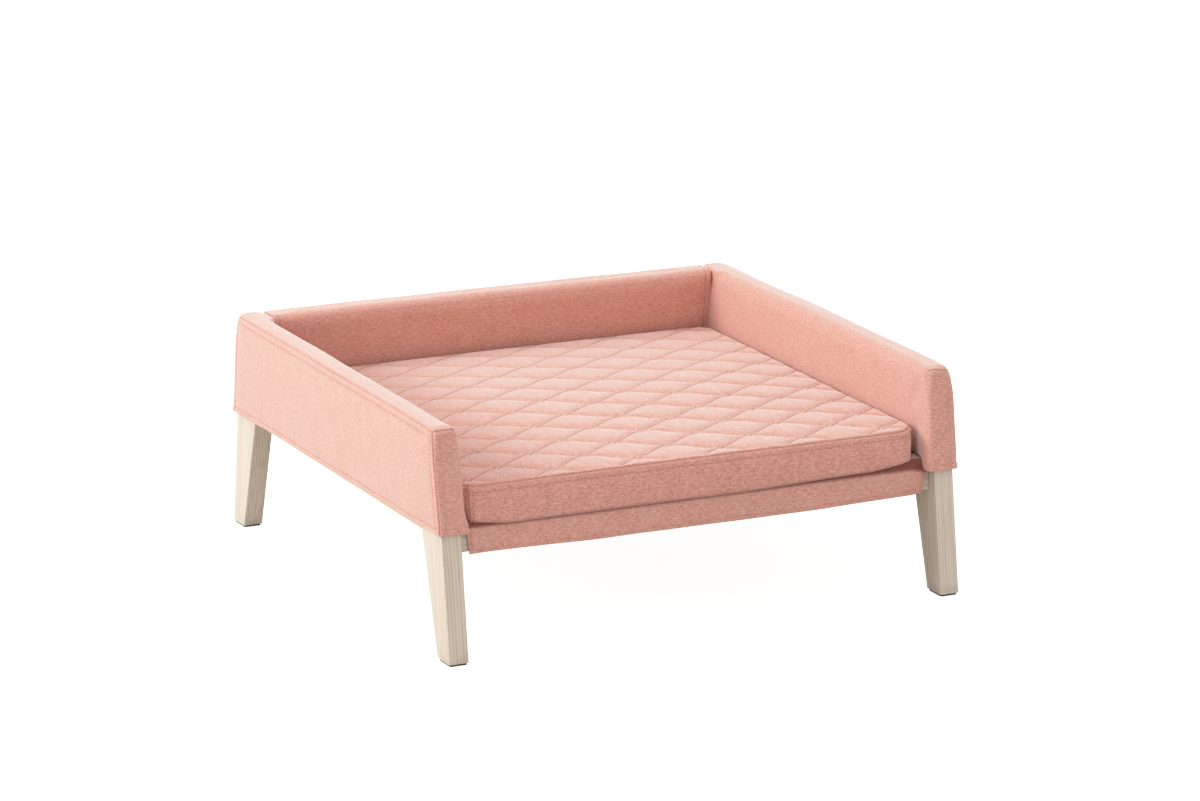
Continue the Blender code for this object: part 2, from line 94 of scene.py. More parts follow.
def mixed(tree, share, a, b, how="MIX"):
    node = put(tree, "ShaderNodeMix", {0: share, 6: a, 7: b}, data_type="RGBA", blend_type=how)
    return node.outputs[2]


def effect(name, inputs, outputs):
    """A shader group with named inputs and outputs."""
    group = bpy.data.node_groups.new(name, "ShaderNodeTree")
    for label, kind, value in inputs:
        socket = group.interface.new_socket(label, in_out="INPUT", socket_type="NodeSocket" + kind)
        socket.default_value = value
    for label, kind in outputs:
        group.interface.new_socket(label, in_out="OUTPUT", socket_type="NodeSocket" + kind)
    given = group.nodes.new("NodeGroupInput")
    out = group.nodes.new("NodeGroupOutput")
    return group, {s.name: s for s in given.outputs}, out


wood_grain, given, out = effect(
    "wood_grain",
    [
        ("Board", "Vector", (0, 0, 0)),
        ("Pale", "Color", (0.7, 0.6, 0.5, 1)),
        ("Dark", "Color", (0.5, 0.4, 0.3, 1)),
        ("Ring Pitch", "Float", 0.0032),
        ("Pore Share", "Float", 0.5),
        ("Wash", "Float", 0.3),
    ],
    [("Color", "Color"), ("Roughness", "Float"), ("Height", "Float")],
)
# The grain runs along the board's Z. Rings are drawn round a pith some way off to the side.
t = wood_grain
slow = put(t, "ShaderNodeVectorMath", {0: given["Board"], 1: (11, 11, 1.6)}, operation="MULTIPLY").outputs[0]
sway = put(t, "ShaderNodeTexNoise", {"Vector": slow, "Scale": 1.0, "Detail": 2.0}).outputs["Color"]
sway = put(t, "ShaderNodeVectorMath", {0: sway, 1: (0.5, 0.5, 0.5)}, operation="SUBTRACT").outputs[0]
sway = put(t, "ShaderNodeVectorMath", {0: sway, 1: (0.016, 0.016, 0)}, operation="MULTIPLY").outputs[0]
log = put(t, "ShaderNodeVectorMath", {0: given["Board"], 1: sway}, operation="ADD").outputs[0]
log = put(t, "ShaderNodeVectorMath", {0: log, 1: (0.043, 0.071, 0)}, operation="ADD").outputs[0]
split = put(t, "ShaderNodeSeparateXYZ", {0: log})
pith = [sums(t, "MULTIPLY", split.outputs[n], split.outputs[n]) for n in (0, 1)]
pith = sums(t, "SQRT", sums(t, "ADD", *pith))
ring = sums(t, "FRACT", sums(t, "DIVIDE", pith, given["Ring Pitch"]))
early = sums(t, "MULTIPLY", between(t, ring, 0.0, 0.16), between(t, ring, 0.22, 0.75, 1.0, 0.0))
fine = put(t, "ShaderNodeVectorMath", {0: given["Board"], 1: (1500, 1500, 34)}, operation="MULTIPLY").outputs[0]
pore = between(t, put(t, "ShaderNodeTexNoise", {"Vector": fine, "Scale": 1.0, "Detail": 2.0}).outputs[0], 0.52, 0.68)
pore = sums(t, "MULTIPLY", pore, sums(t, "MULTIPLY_ADD", early, 0.8, 0.2))
long = put(t, "ShaderNodeVectorMath", {0: given["Board"], 1: (230, 230, 5)}, operation="MULTIPLY").outputs[0]
streak = put(t, "ShaderNodeTexNoise", {"Vector": long, "Scale": 1.0, "Detail": 3.0}).outputs[0]
cloud = put(t, "ShaderNodeTexNoise", {"Vector": slow, "Scale": 2.1, "Detail": 3.0}).outputs[0]
tone = sums(t, "MULTIPLY_ADD", early, 0.42, sums(t, "MULTIPLY", between(t, streak, 0.3, 0.75), 0.42))
tone = sums(t, "ADD", tone, sums(t, "MULTIPLY", pore, given["Pore Share"]))
tone = sums(t, "SUBTRACT", tone, sums(t, "MULTIPLY", between(t, cloud, 0.35, 0.7), given["Wash"]))
tone = put(t, "ShaderNodeClamp", {0: tone}).outputs[0]
t.links.new(mixed(t, tone, given["Pale"], given["Dark"]), out.inputs["Color"])
t.links.new(sums(t, "MULTIPLY_ADD", pore, 0.18, sums(t, "MULTIPLY_ADD", early, 0.06, 0.56)), out.inputs["Roughness"])
hollow = sums(t, "MULTIPLY_ADD", pore, 0.8, sums(t, "MULTIPLY", early, 0.25))
t.links.new(sums(t, "SUBTRACT", 1.0, hollow), out.inputs["Height"])


def wooden(name, turn, pale, dark, ring_pitch, pores, wash, edge=None):
    """A board's material. turn brings its grain on to Z."""
    m = bpy.data.materials.new(name)
    m.use_nodes = True
    t = m.node_tree
    shader = t.nodes["Principled BSDF"]
    place = put(t, "ShaderNodeTexCoord").outputs["Object"]
    board = put(t, "ShaderNodeMapping", {"Vector": place, "Rotation": turn}).outputs[0]
    grain = put(
        t,
        "ShaderNodeGroup",
        node_tree=wood_grain,
    )
    for key, value in (
        ("Pale", (*pale, 1)), ("Dark", (*dark, 1)), ("Ring Pitch", ring_pitch), ("Pore Share", pores), ("Wash", wash),
    ):
        grain.inputs[key].default_value = value
    t.links.new(board, grain.inputs["Board"])
    colour = grain.outputs["Color"]
    if edge:  # rubbed and a little grubby where the leg nears the floor
        height = put(t, "ShaderNodeSeparateXYZ", {0: place}).outputs[2]
        scuff = put(t, "ShaderNodeTexNoise", {"Vector": place, "Scale": 90.0, "Detail": 4.0}).outputs[0]
        low = sums(t, "MULTIPLY", between(t, height, 0.002, 0.022, 1.0, 0.0), between(t, scuff, 0.35, 0.65))
        colour = mixed(t, sums(t, "MULTIPLY", low, 0.45), colour, (*edge, 1))
    t.links.new(colour, shader.inputs["Base Color"])
    t.links.new(grain.outputs["Roughness"], shader.inputs["Roughness"])
    bump = put(t, "ShaderNodeBump", {"Height": grain.outputs["Height"], "Strength": 0.35, "Distance": 0.0004})
    t.links.new(bump.outputs[0], shader.inputs["Normal"])
    shader.inputs["Specular IOR Level"].default_value = 0.35
    return m


def clad(nodes, material):
    """Gives CAD nodes their finish."""
    for node in nodes:
        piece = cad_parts[node]
        for held in piece.material_slots:
            held.material = material
        if not piece.material_slots:
            piece.data.materials.append(material)


ASH_PALE, ASH_DARK = (0.668, 0.582, 0.492), (0.490, 0.378, 0.272)
lean = math.atan(LEG_LEAN)
clad(
    ["leg_front_left", "leg_front_right"],
    wooden("ash_front", (lean, 0, 0.5), ASH_PALE, ASH_DARK, 0.0034, 0.40, 0.35, (0.42, 0.36, 0.30)),
)
clad(
    ["leg_rear_left", "leg_rear_right"],
    wooden("ash_rear", (-lean, 0, 1.1), ASH_PALE, ASH_DARK, 0.0030, 0.40, 0.35, (0.42, 0.36, 0.30)),
)
clad(["front_rail"], wooden("ash_rail", (0, -math.pi / 2, 0), ASH_PALE, ASH_DARK, 0.0036, 0.40, 0.3))


# Felt under the feet.
# A pad of dense brown-grey needled felt, 2.7 mm thick, glued into the sawn foot of each leg.
felt = bpy.data.materials.new("felt")
felt.use_nodes = True
t = felt.node_tree
place = put(t, "ShaderNodeTexCoord").outputs["Object"]
hair = put(t, "ShaderNodeTexNoise", {"Vector": place, "Scale": 900.0, "Detail": 4.0, "Distortion": 1.5}).outputs[0]
patch = put(t, "ShaderNodeTexNoise", {"Vector": place, "Scale": 120.0, "Detail": 2.0}).outputs[0]
shade = sums(t, "MULTIPLY_ADD", hair, 0.7, sums(t, "MULTIPLY", patch, 0.3))
colour = mixed(t, between(t, shade, 0.3, 0.7), (0.035, 0.028, 0.024, 1), (0.13, 0.105, 0.085, 1))
t.links.new(colour, t.nodes["Principled BSDF"].inputs["Base Color"])
bump = put(t, "ShaderNodeBump", {"Height": shade, "Strength": 0.7, "Distance": 0.0006})
t.links.new(bump.outputs[0], t.nodes["Principled BSDF"].inputs["Normal"])
t.nodes["Principled BSDF"].inputs["Roughness"].default_value = 0.95
t.nodes["Principled BSDF"].inputs["Sheen Weight"].default_value = 0.3
clad([f"foot_pad_{end}_{side}" for end in ("front", "rear") for side in ("left", "right")], felt)


# Panel frames and deck.
# Rails of planed pine with thin poplar boards glued on make the three panels. Two pine strips on
# the side panels carry eight slats. All of it is hidden by cloth except from below.
PINE_PALE, PINE_DARK = (0.74, 0.55, 0.34), (0.50, 0.30, 0.14)
pine_x = wooden("pine_across", (0, -math.pi / 2, 0), PINE_PALE, PINE_DARK, 0.0042, 0.10, 0.15)
pine_y = wooden("pine_along", (math.pi / 2, 0, 0.4), PINE_PALE, PINE_DARK, 0.0042, 0.10, 0.15)
board_x = wooden("board_across", (0, -math.pi / 2, 0.9), (0.70, 0.58, 0.42), (0.52, 0.40, 0.26), 0.0021, 0.22, 0.2)
board_y = wooden("board_along", (math.pi / 2, 0, 0.9), (0.70, 0.58, 0.42), (0.52, 0.40, 0.26), 0.0021, 0.22, 0.2)
for side in ("left", "right"):
    clad([f"side_top_rail_{side}", f"side_bottom_rail_{side}", f"deck_ledger_{side}"], pine_y)
    clad([f"side_board_outer_{side}", f"side_board_inner_{side}"], board_y)
clad(["back_top_rail", "back_bottom_rail"] + [f"slat_{n}" for n in range(1, 9)], pine_x)
clad(["back_board_outer", "back_board_inner"], board_x)


# Bolts and barrel nuts.
# Six zinc-plated connector bolts with flat heads pass through the legs into cross-dowel nuts in
# the front rail and the back panel.
zinc = bpy.data.materials.new("zinc_plate")
zinc.use_nodes = True
t = zinc.node_tree
place = put(t, "ShaderNodeTexCoord").outputs["Object"]
spangle = put(t, "ShaderNodeTexVoronoi", {"Vector": place, "Scale": 420.0}).outputs["Color"]
spangle = put(t, "ShaderNodeSeparateColor", {0: spangle}).outputs[0]
rub = put(t, "ShaderNodeTexNoise", {"Vector": place, "Scale": 700.0, "Detail": 3.0}).outputs[0]
colour = mixed(t, spangle, (0.52, 0.53, 0.54, 1), (0.70, 0.71, 0.70, 1))
t.links.new(colour, t.nodes["Principled BSDF"].inputs["Base Color"])
t.links.new(sums(t, "MULTIPLY_ADD", rub, 0.25, 0.24), t.nodes["Principled BSDF"].inputs["Roughness"])
t.nodes["Principled BSDF"].inputs["Metallic"].default_value = 1.0
bump = put(t, "ShaderNodeBump", {"Height": rub, "Strength": 0.12, "Distance": 0.0002})
t.links.new(bump.outputs[0], t.nodes["Principled BSDF"].inputs["Normal"])
joints_at = ("front", "back_low", "back_top")
clad(
    [f"{kind}_{at}_{side}" for kind in ("bolt", "barrel_nut") for at in joints_at for side in ("left", "right")],
    zinc,
)


# Slat screws.
# One zinc-plated pan-head screw holds each end of a slat to the strip below it, and five more
# come up through each strip into the side panel's bottom rail.
SCREW_HEAD, SCREW_HIGH, SCREW_STEM, SCREW_LONG = 0.0036, 0.0018, 0.0016, 0.009
SLAT_SCREW_X, LEDGER_SCREW_X = 0.3345, 0.355


def tree_of(name, inputs):
    """A geometry tree with named inputs, its given sockets and its output."""
    tree = bpy.data.node_groups.new(name, "GeometryNodeTree")
    tree.interface.new_socket("Geometry", in_out="INPUT", socket_type="NodeSocketGeometry")
    for label, kind, value in inputs:
        socket = tree.interface.new_socket(label, in_out="INPUT", socket_type="NodeSocket" + kind)
        if value is not None:
            socket.default_value = value
    tree.interface.new_socket("Geometry", in_out="OUTPUT", socket_type="NodeSocketGeometry")
    source = tree.nodes.new("NodeGroupInput")
    return tree, {s.name: s for s in source.outputs}, tree.nodes.new("NodeGroupOutput")


def grown(name, points, edges, attributes, tree, values, body):
    """Runs a geometry tree on a path and keeps its result as one plain mesh on a body."""
    m = bpy.data.meshes.new(name + "_path")
    m.from_pydata([tuple(p) for p in points], [tuple(e) for e in edges], [])
    for label, data in attributes.items():
        held = m.attributes.new(label, "FLOAT_VECTOR", "POINT")
        held.data.foreach_set("vector", np.asarray(data, np.float32).ravel())
    carrier = bpy.data.objects.new(name + "_path", m)
    bpy.context.scene.collection.objects.link(carrier)
    mod = carrier.modifiers.new("grow", "NODES")
    mod.node_group = tree
    for item in tree.interface.items_tree:
        if item.item_type == "SOCKET" and item.in_out == "INPUT" and item.name in values:
            mod[item.identifier] = values[item.name]
    seen = carrier.evaluated_get(bpy.context.evaluated_depsgraph_get())
    mesh = bpy.data.meshes.new_from_object(seen)
    mesh.name = name
    carrier.modifiers.remove(mod)
    bpy.data.objects.remove(carrier)
    piece = bpy.data.objects.new(name, mesh)
    bpy.context.scene.collection.objects.link(piece)
    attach(piece, body)
    return piece


t, given, out = tree_of(
    "pan_head_screw",
    [
        ("Head Radius", "Float", 0.004), ("Head Height", "Float", 0.002), ("Stem Radius", "Float", 0.002),
        ("Stem Length", "Float", 0.01), ("Metal", "Material", None),
    ],
)
skirt_height = sums(t, "MULTIPLY", given["Head Height"], 0.4)
skirt = {"Vertices": 24, "Radius": given["Head Radius"], "Depth": skirt_height}
skirt = put(t, "GeometryNodeMeshCylinder", skirt)
crown = put(
    t,
    "GeometryNodeMeshCone",
    {
        "Vertices": 24, "Side Segments": 3,
        "Radius Top": sums(t, "MULTIPLY", given["Head Radius"], 0.62), "Radius Bottom": given["Head Radius"],
        "Depth": sums(t, "MULTIPLY", given["Head Height"], 0.6),
    },
)
lift = put(t, "ShaderNodeCombineXYZ", {2: sums(t, "MULTIPLY", given["Head Height"], 0.2)}).outputs[0]
crown = put(t, "GeometryNodeTransform", {"Geometry": crown.outputs["Mesh"], "Translation": lift}).outputs[0]
drop = put(t, "ShaderNodeCombineXYZ", {2: sums(t, "MULTIPLY", given["Stem Length"], -0.5)}).outputs[0]
stem = {"Vertices": 12, "Radius": given["Stem Radius"], "Depth": given["Stem Length"]}
stem = put(t, "GeometryNodeMeshCylinder", stem)
stem = put(t, "GeometryNodeTransform", {"Geometry": stem.outputs["Mesh"], "Translation": drop}).outputs[0]
solid = put(t, "GeometryNodeJoinGeometry")
for part in (skirt.outputs["Mesh"], crown):
    t.links.new(part, solid.inputs[0])
slot_length, slot_width = (sums(t, "MULTIPLY", given["Head Radius"], share) for share in (1.15, 0.24))
slot_long = put(t, "ShaderNodeCombineXYZ", {0: slot_length, 1: slot_width, 2: given["Head Height"]}).outputs[0]
slot_wide = put(t, "ShaderNodeCombineXYZ", {0: slot_width, 1: slot_length, 2: given["Head Height"]}).outputs[0]
high = put(t, "ShaderNodeCombineXYZ", {2: sums(t, "MULTIPLY", given["Head Height"], 0.75)}).outputs[0]
drive = put(t, "GeometryNodeJoinGeometry")
for size in (slot_long, slot_wide):
    cut = put(t, "GeometryNodeMeshCube", {"Size": size})
    cut = put(t, "GeometryNodeTransform", {"Geometry": cut.outputs["Mesh"], "Translation": high}).outputs[0]
    t.links.new(cut, drive.inputs[0])
head = {"Mesh 1": solid.outputs[0], "Mesh 2": drive.outputs[0]}
head = put(t, "GeometryNodeMeshBoolean", head, operation="DIFFERENCE")
whole = put(t, "GeometryNodeJoinGeometry")
for part in (head.outputs["Mesh"], stem):
    t.links.new(part, whole.inputs[0])
facing = put(t, "GeometryNodeInputNamedAttribute", {"Name": "facing"}, data_type="FLOAT_VECTOR").outputs[0]
turn = put(t, "FunctionNodeAlignRotationToVector", {"Vector": facing}, axis="Z").outputs[0]
spread = {"Points": given["Geometry"], "Instance": whole.outputs[0], "Rotation": turn}
spread = put(t, "GeometryNodeInstanceOnPoints", spread).outputs[0]
real = put(t, "GeometryNodeRealizeInstances", {0: spread}).outputs[0]
real = put(t, "GeometryNodeSetMaterial", {"Geometry": real, "Material": given["Metal"]}).outputs[0]
t.links.new(real, out.inputs[0])
screw_tree = t

spots, ways = [], []
for number in range(1, 9):
    low, high_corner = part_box(f"slat_{number}")
    for side in (-1, 1):
        spots.append((side * SLAT_SCREW_X, (low.y + high_corner.y) / 2, high_corner.z - 0.0010))
        ways.append((0, 0, 1))
ledger_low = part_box("deck_ledger_left")[0]
for side in (-1, 1):
    for y in (-0.24, -0.12, 0.0, 0.12, 0.24):
        spots.append((side * LEDGER_SCREW_X, y, ledger_low.z - 0.0003))
        ways.append((0, 0, -1))
grown(
    "slat_screws", spots, [], {"facing": ways}, screw_tree,
    {
        "Head Radius": SCREW_HEAD, "Head Height": SCREW_HIGH, "Stem Radius": SCREW_STEM,
        "Stem Length": SCREW_LONG, "Metal": zinc,
    },
    "frame",
)


# Side covers.
# Each is cut from a woven melange upholstery cloth: an outer face, a strip that runs on over the
# top into the inner face, and two end faces, seamed with a topstitch and hemmed open below.

woven_cloth, given, out = effect(
    "woven_cloth",
    [
        ("Cloth", "Vector", (0, 0, 0)),
        ("Thread", "Float", 0.0011),
        ("Light Yarn", "Color", (0.8, 0.5, 0.4, 1)),
        ("Deep Yarn", "Color", (0.6, 0.25, 0.18, 1)),
        ("Fleck", "Float", 0.25),
        ("Painted Shade", "Float", 0.0),
    ],
    [("Color", "Color"), ("Roughness", "Float"), ("Height", "Float")],
)
t = woven_cloth
wobble = put(t, "ShaderNodeTexNoise", {"Vector": given["Cloth"], "Scale": 260.0, "Detail": 1.0}).outputs["Color"]
wobble = put(t, "ShaderNodeVectorMath", {0: wobble, 1: (0.5, 0.5, 0.5)}, operation="SUBTRACT").outputs[0]
wobble = put(t, "ShaderNodeVectorMath", {0: wobble, 1: (0.0007, 0.0007, 0)}, operation="MULTIPLY").outputs[0]
cloth_at = put(t, "ShaderNodeVectorMath", {0: given["Cloth"], 1: wobble}, operation="ADD").outputs[0]
split = put(t, "ShaderNodeSeparateXYZ", {0: cloth_at})
across = sums(t, "MULTIPLY", sums(t, "DIVIDE", split.outputs[0], given["Thread"]), math.pi)
along = sums(t, "MULTIPLY", sums(t, "DIVIDE", split.outputs[1], given["Thread"]), math.pi)
weave = sums(t, "MULTIPLY", sums(t, "SINE", across), sums(t, "SINE", along))
over = between(t, weave, -0.15, 0.15)
fibre_u = put(t, "ShaderNodeVectorMath", {0: given["Cloth"], 1: (160, 950, 1)}, operation="MULTIPLY").outputs[0]
fibre_v = put(t, "ShaderNodeVectorMath", {0: given["Cloth"], 1: (950, 160, 1)}, operation="MULTIPLY").outputs[0]
yarn_u = put(t, "ShaderNodeTexNoise", {"Vector": fibre_u, "Scale": 1.0, "Detail": 3.0, "Roughness": 0.6}).outputs[0]
yarn_v = put(t, "ShaderNodeTexNoise", {"Vector": fibre_v, "Scale": 1.0, "Detail": 3.0, "Roughness": 0.6}).outputs[0]
yarn = put(t, "ShaderNodeMix", {0: over, 2: yarn_u, 3: yarn_v}, data_type="FLOAT").outputs[0]
slub = put(t, "ShaderNodeTexNoise", {"Vector": given["Cloth"], "Scale": 420.0, "Detail": 2.0}).outputs[0]
cloud = put(t, "ShaderNodeTexNoise", {"Vector": given["Cloth"], "Scale": 34.0, "Detail": 3.0}).outputs[0]
heather = put(t, "ShaderNodeVectorMath", {0: given["Cloth"], 1: (130, 520, 1)}, operation="MULTIPLY").outputs[0]
heather = put(t, "ShaderNodeTexNoise", {"Vector": heather, "Scale": 1.0, "Detail": 3.0, "Roughness": 0.65}).outputs[0]
tone = sums(t, "MULTIPLY", between(t, yarn, 0.36, 0.64), 0.34)
tone = sums(t, "ADD", tone, sums(t, "MULTIPLY", between(t, slub, 0.34, 0.66), 0.24))
tone = sums(t, "ADD", tone, sums(t, "MULTIPLY", between(t, heather, 0.36, 0.64), 0.34))
tone = sums(t, "ADD", tone, sums(t, "MULTIPLY", between(t, cloud, 0.3, 0.7), 0.08))
colour = mixed(t, tone, given["Deep Yarn"], given["Light Yarn"])
fleck = put(t, "ShaderNodeTexNoise", {"Vector": fibre_u, "Scale": 0.43, "Detail": 1.0}).outputs[0]
fleck = sums(t, "MULTIPLY", between(t, fleck, 0.64, 0.74), given["Fleck"])
colour = mixed(t, fleck, colour, (0.90, 0.78, 0.70, 1))
# Painted shade in the gaps between the yarns.
gap = between(t, sums(t, "ABSOLUTE", weave), 0.0, 0.22, 0.13, 0.0)
colour = mixed(t, gap, colour, (0.30, 0.10, 0.07, 1))
# Painted shade: the cloth is darkened where a seam, crease or crevice lies in shadow.
colour = mixed(t, given["Painted Shade"], colour, (0.17, 0.036, 0.022, 1))
t.links.new(colour, out.inputs["Color"])
t.links.new(sums(t, "MULTIPLY_ADD", yarn, 0.12, 0.80), out.inputs["Roughness"])
relief = sums(t, "MULTIPLY", sums(t, "ABSOLUTE", weave), 0.75)
t.links.new(sums(t, "ADD", relief, sums(t, "MULTIPLY", yarn, 0.4)), out.inputs["Height"])

CLOTH_LIGHT, CLOTH_DEEP = (0.830, 0.485, 0.400), (0.480, 0.172, 0.122)


def cloth_of(name, light, deep, thread, fleck, bump_mm=0.22, sheen=1.0):
    m = bpy.data.materials.new(name)
    m.use_nodes = True
    t = m.node_tree
    shader = t.nodes["Principled BSDF"]
    laid = put(t, "ShaderNodeUVMap", uv_map="laid")
    cloth = put(t, "ShaderNodeGroup", node_tree=woven_cloth)
    for key, value in (("Thread", thread), ("Light Yarn", (*light, 1)), ("Deep Yarn", (*deep, 1)), ("Fleck", fleck)):
        cloth.inputs[key].default_value = value
    t.links.new(laid.outputs[0], cloth.inputs["Cloth"])
    # The mesh's painted-shade attribute darkens the cloth in seams and crevices.
    t.links.new(put(t, "ShaderNodeAttribute", attribute_name="painted_shade").outputs["Fac"], cloth.inputs["Painted Shade"])
    t.links.new(cloth.outputs["Color"], shader.inputs["Base Color"])
    t.links.new(cloth.outputs["Roughness"], shader.inputs["Roughness"])
    bump = put(t, "ShaderNodeBump", {"Height": cloth.outputs["Height"], "Strength": 0.6, "Distance": bump_mm / 1000})
    t.links.new(bump.outputs[0], shader.inputs["Normal"])
    shader.inputs["Specular IOR Level"].default_value = 0.25
    shader.inputs["Sheen Weight"].default_value = sheen
    shader.inputs["Sheen Roughness"].default_value = 0.40
    shader.inputs["Sheen Tint"].default_value = (1.0, 0.94, 0.91, 1)
    return m


cover_cloth = cloth_of("cover_cloth", CLOTH_LIGHT, CLOTH_DEEP, 0.0011, 0.22)


def smooth(low, high, value):
    share = np.clip((np.asarray(value, float) - low) / (high - low), 0, 1)
    return share * share * (3 - 2 * share)


def ridge(value, at, width):
    """A bell curve, 1 where value is at its place and falling off over its width."""
    return np.exp(-(((value - at) / width) ** 2))


def ruled(low, high, step, near=(0.0009, 0.0018, 0.0030, 0.0046, 0.0066, 0.0088, 0.0108, 0.0134), ends=(1, 1)):
    """Grid lines from low to high, drawn closer where a seam runs along an end."""
    first = [low + d for d in near] if ends[0] else [low]
    last = [high - d for d in near] if ends[1] else [high]
    a, b = max(first), min(last)
    return np.array(sorted({low, high, *first, *last, *np.linspace(a, b, max(2, int(round((b - a) / step)) + 1))}))


def step_of(line, value):
    """Which step of a grid line each value falls in, and what share of that step it has passed."""
    i = np.clip(np.searchsorted(line, value) - 1, 0, len(line) - 2)
    return i, np.clip((value - line[i]) / (line[i + 1] - line[i]), 0, 1)[:, None]


def blended(data, g, steps):
    """The data at the four corners of each spot's quad in the grid g, blended by the spot's place in it."""
    (i, u), (j, v) = steps
    return (
        data[g[i, j]] * (1 - u) * (1 - v) + data[g[i + 1, j]] * u * (1 - v)
        + data[g[i, j + 1]] * (1 - u) * v + data[g[i + 1, j + 1]] * u * v
    )


class SewnForm:
    """The skin of a box as a grid of quads.

    Cloth, puffs and stitches find their place on it by their distance from its edges.
    """

    def __init__(self, xs, ys, zs, closed_below=False):
        self.lines = [np.asarray(a, float) for a in (xs, ys, zs)]
        n = [len(a) for a in self.lines]
        i, j, k = np.indices(n)
        skin = (i == 0) | (i == n[0] - 1) | (j == 0) | (j == n[1] - 1) | (k == n[2] - 1)
        if closed_below:
            skin |= k == 0
        self.number = np.where(skin, np.cumsum(skin).reshape(n) - 1, -1)
        at = np.argwhere(skin)
        self.flat = np.stack([self.lines[a][at[:, a]] for a in range(3)], 1)
        quads, laid = [], []
        self.sides = {}
        for a in range(3):
            b, c = (a + 1) % 3, (a + 2) % 3
            for end in (0, 1):
                if a == 2 and end == 0 and not closed_below:
                    continue
                g = np.take(self.number, end * (n[a] - 1), axis=a)
                g = g.T if a == 1 else g
                self.sides[a, end] = g
                q = np.stack([g[:-1, :-1], g[1:, :-1], g[1:, 1:], g[:-1, 1:]], -1).reshape(-1, 4)
                q = q if end else q[:, ::-1]
                quads.append(q)
                u, v = (c, b) if a == 1 else (b, c)
                laid.append(self.flat[q][:, :, (u, v)])
        self.quads, self.laid = np.concatenate(quads), np.concatenate(laid)

    def facing(self, points):
        q = points[self.quads]
        n = np.cross(q[:, 2] - q[:, 0], q[:, 3] - q[:, 1])
        total = [sum(np.bincount(at, n[:, a], len(points)) for at in self.quads.T) for a in range(3)]
        total = np.stack(total, 1)
        return total / np.maximum(np.linalg.norm(total, axis=1), 1e-12)[:, None]

    def read(self, data, spots):
        """data is held at every grid point; this reads it at spots anywhere on the box's skin."""
        found = np.zeros((len(spots), data.shape[1]))
        away = np.stack([np.abs(spots[:, a] - self.lines[a][-end]) for a in range(3) for end in (0, 1)], 1)
        if (2, 0) not in self.sides:
            away[:, 4] = 9.0
        nearest = away.argmin(1)
        for (a, end), g in self.sides.items():
            mine = np.flatnonzero(nearest == 2 * a + end)
            if not len(mine):
                continue
            b, c = (a + 1) % 3, (a + 2) % 3
            found[mine] = blended(data, g, [step_of(self.lines[axis], spots[mine, axis]) for axis in (b, c)])
        return found

    def piece(self, name, points, material, thick=0.0, painted_shade=None):
        """The finished mesh.

        thick gives the cloth its body, inwards from the face. The last argument is painted shade, kept as a point
        attribute: it darkens the bottom of a seam and other creases and crevices.
        """
        m = bpy.data.meshes.new(name)
        m.from_pydata(points.tolist(), [], self.quads.tolist())
        m.uv_layers.new(name="laid").data.foreach_set("uv", self.laid.astype(np.float32).ravel())
        m.polygons.foreach_set("use_smooth", np.ones(len(self.quads), bool))
        m.materials.append(material)
        if painted_shade is not None:
            shade = m.attributes.new("painted_shade", "FLOAT", "POINT").data
            shade.foreach_set("value", np.clip(painted_shade, 0, 1).astype(np.float32))
        piece = bpy.data.objects.new(name, m)
        bpy.context.scene.collection.objects.link(piece)
        if thick:
            wall = piece.modifiers.new("wall", "SOLIDIFY")
            wall.thickness, wall.offset, wall.use_even_offset = thick, -1.0, False
            solid = bpy.data.meshes.new_from_object(piece.evaluated_get(bpy.context.evaluated_depsgraph_get()))
            piece.modifiers.remove(wall)
            piece.data = solid
            solid.name = name
        return piece


def rounded(p, low, high, radius):
    """Rounds a box's edges by three radii a point; a low of -9 leaves that side open and straight."""
    core = np.minimum(np.maximum(p, low + radius), high - radius)
    out = (p - core) / radius
    size = np.linalg.norm(out, axis=1)
    return core + radius * out / np.maximum(size, 1.0)[:, None]


def uneven(u, v, seed, reach):
    """Slow hand-made unevenness between about -1 and 1, with reach its usual length in metres."""
    dice = np.random.default_rng(seed)
    total = 0
    for _ in range(5):
        angle, phase = dice.uniform(0, math.pi), dice.uniform(0, 2 * math.pi)
        length = reach * dice.uniform(0.7, 1.8)
        total = total + np.sin(2 * math.pi * (u * math.cos(angle) + v * math.sin(angle)) / length + phase)
    return total / 2.6


def give(coarse, points, held, pressure, spare, cap, seed_name):
    """How far the filling pushes each point of the cloth out, from a cloth simulation with its seams held."""
    work = coarse.piece(seed_name, points, cover_cloth)
    group = work.vertex_groups.new(name="held")
    group.add([int(n) for n in np.flatnonzero(held)], 1.0, "REPLACE")
    mod = work.modifiers.new("cloth", "CLOTH")
    mod.settings.quality = 5
    mod.settings.mass = 0.25
    mod.settings.tension_stiffness = mod.settings.compression_stiffness = 18
    mod.settings.shear_stiffness = 6
    mod.settings.bending_stiffness = 0.6
    mod.settings.use_pressure = True
    mod.settings.uniform_pressure_force = pressure
    mod.settings.shrink_min = -spare
    mod.settings.effector_weights.gravity = 0
    mod.settings.vertex_group_mass = "held"
    mod.collision_settings.use_collision = False
    mod.point_cache.frame_start, mod.point_cache.frame_end = 1, 20
    for step in range(1, 21):
        bpy.context.scene.frame_set(step)
    seen = work.evaluated_get(bpy.context.evaluated_depsgraph_get())
    co = np.zeros(len(points) * 3, np.float32)
    seen.data.vertices.foreach_get("co", co)
    pushed = co.reshape(-1, 3).astype(float) - points
    bpy.data.objects.remove(work)
    bpy.context.scene.frame_set(1)
    if not np.isfinite(pushed).all():
        raise RuntimeError(f"{seed_name}: the simulation went astray")
    way = coarse.facing(points)
    rise = (pushed * way).sum(1)
    along = pushed - way * rise[:, None]
    far = np.linalg.norm(along, axis=1)
    along *= (np.minimum(far, 0.0015) / np.maximum(far, 1e-9))[:, None]
    print(seed_name, "rises by", round(rise.min() * 1000, 2), "to", round(rise.max() * 1000, 2), "mm")
    return along + way * np.clip(rise, -0.0003, cap)[:, None]


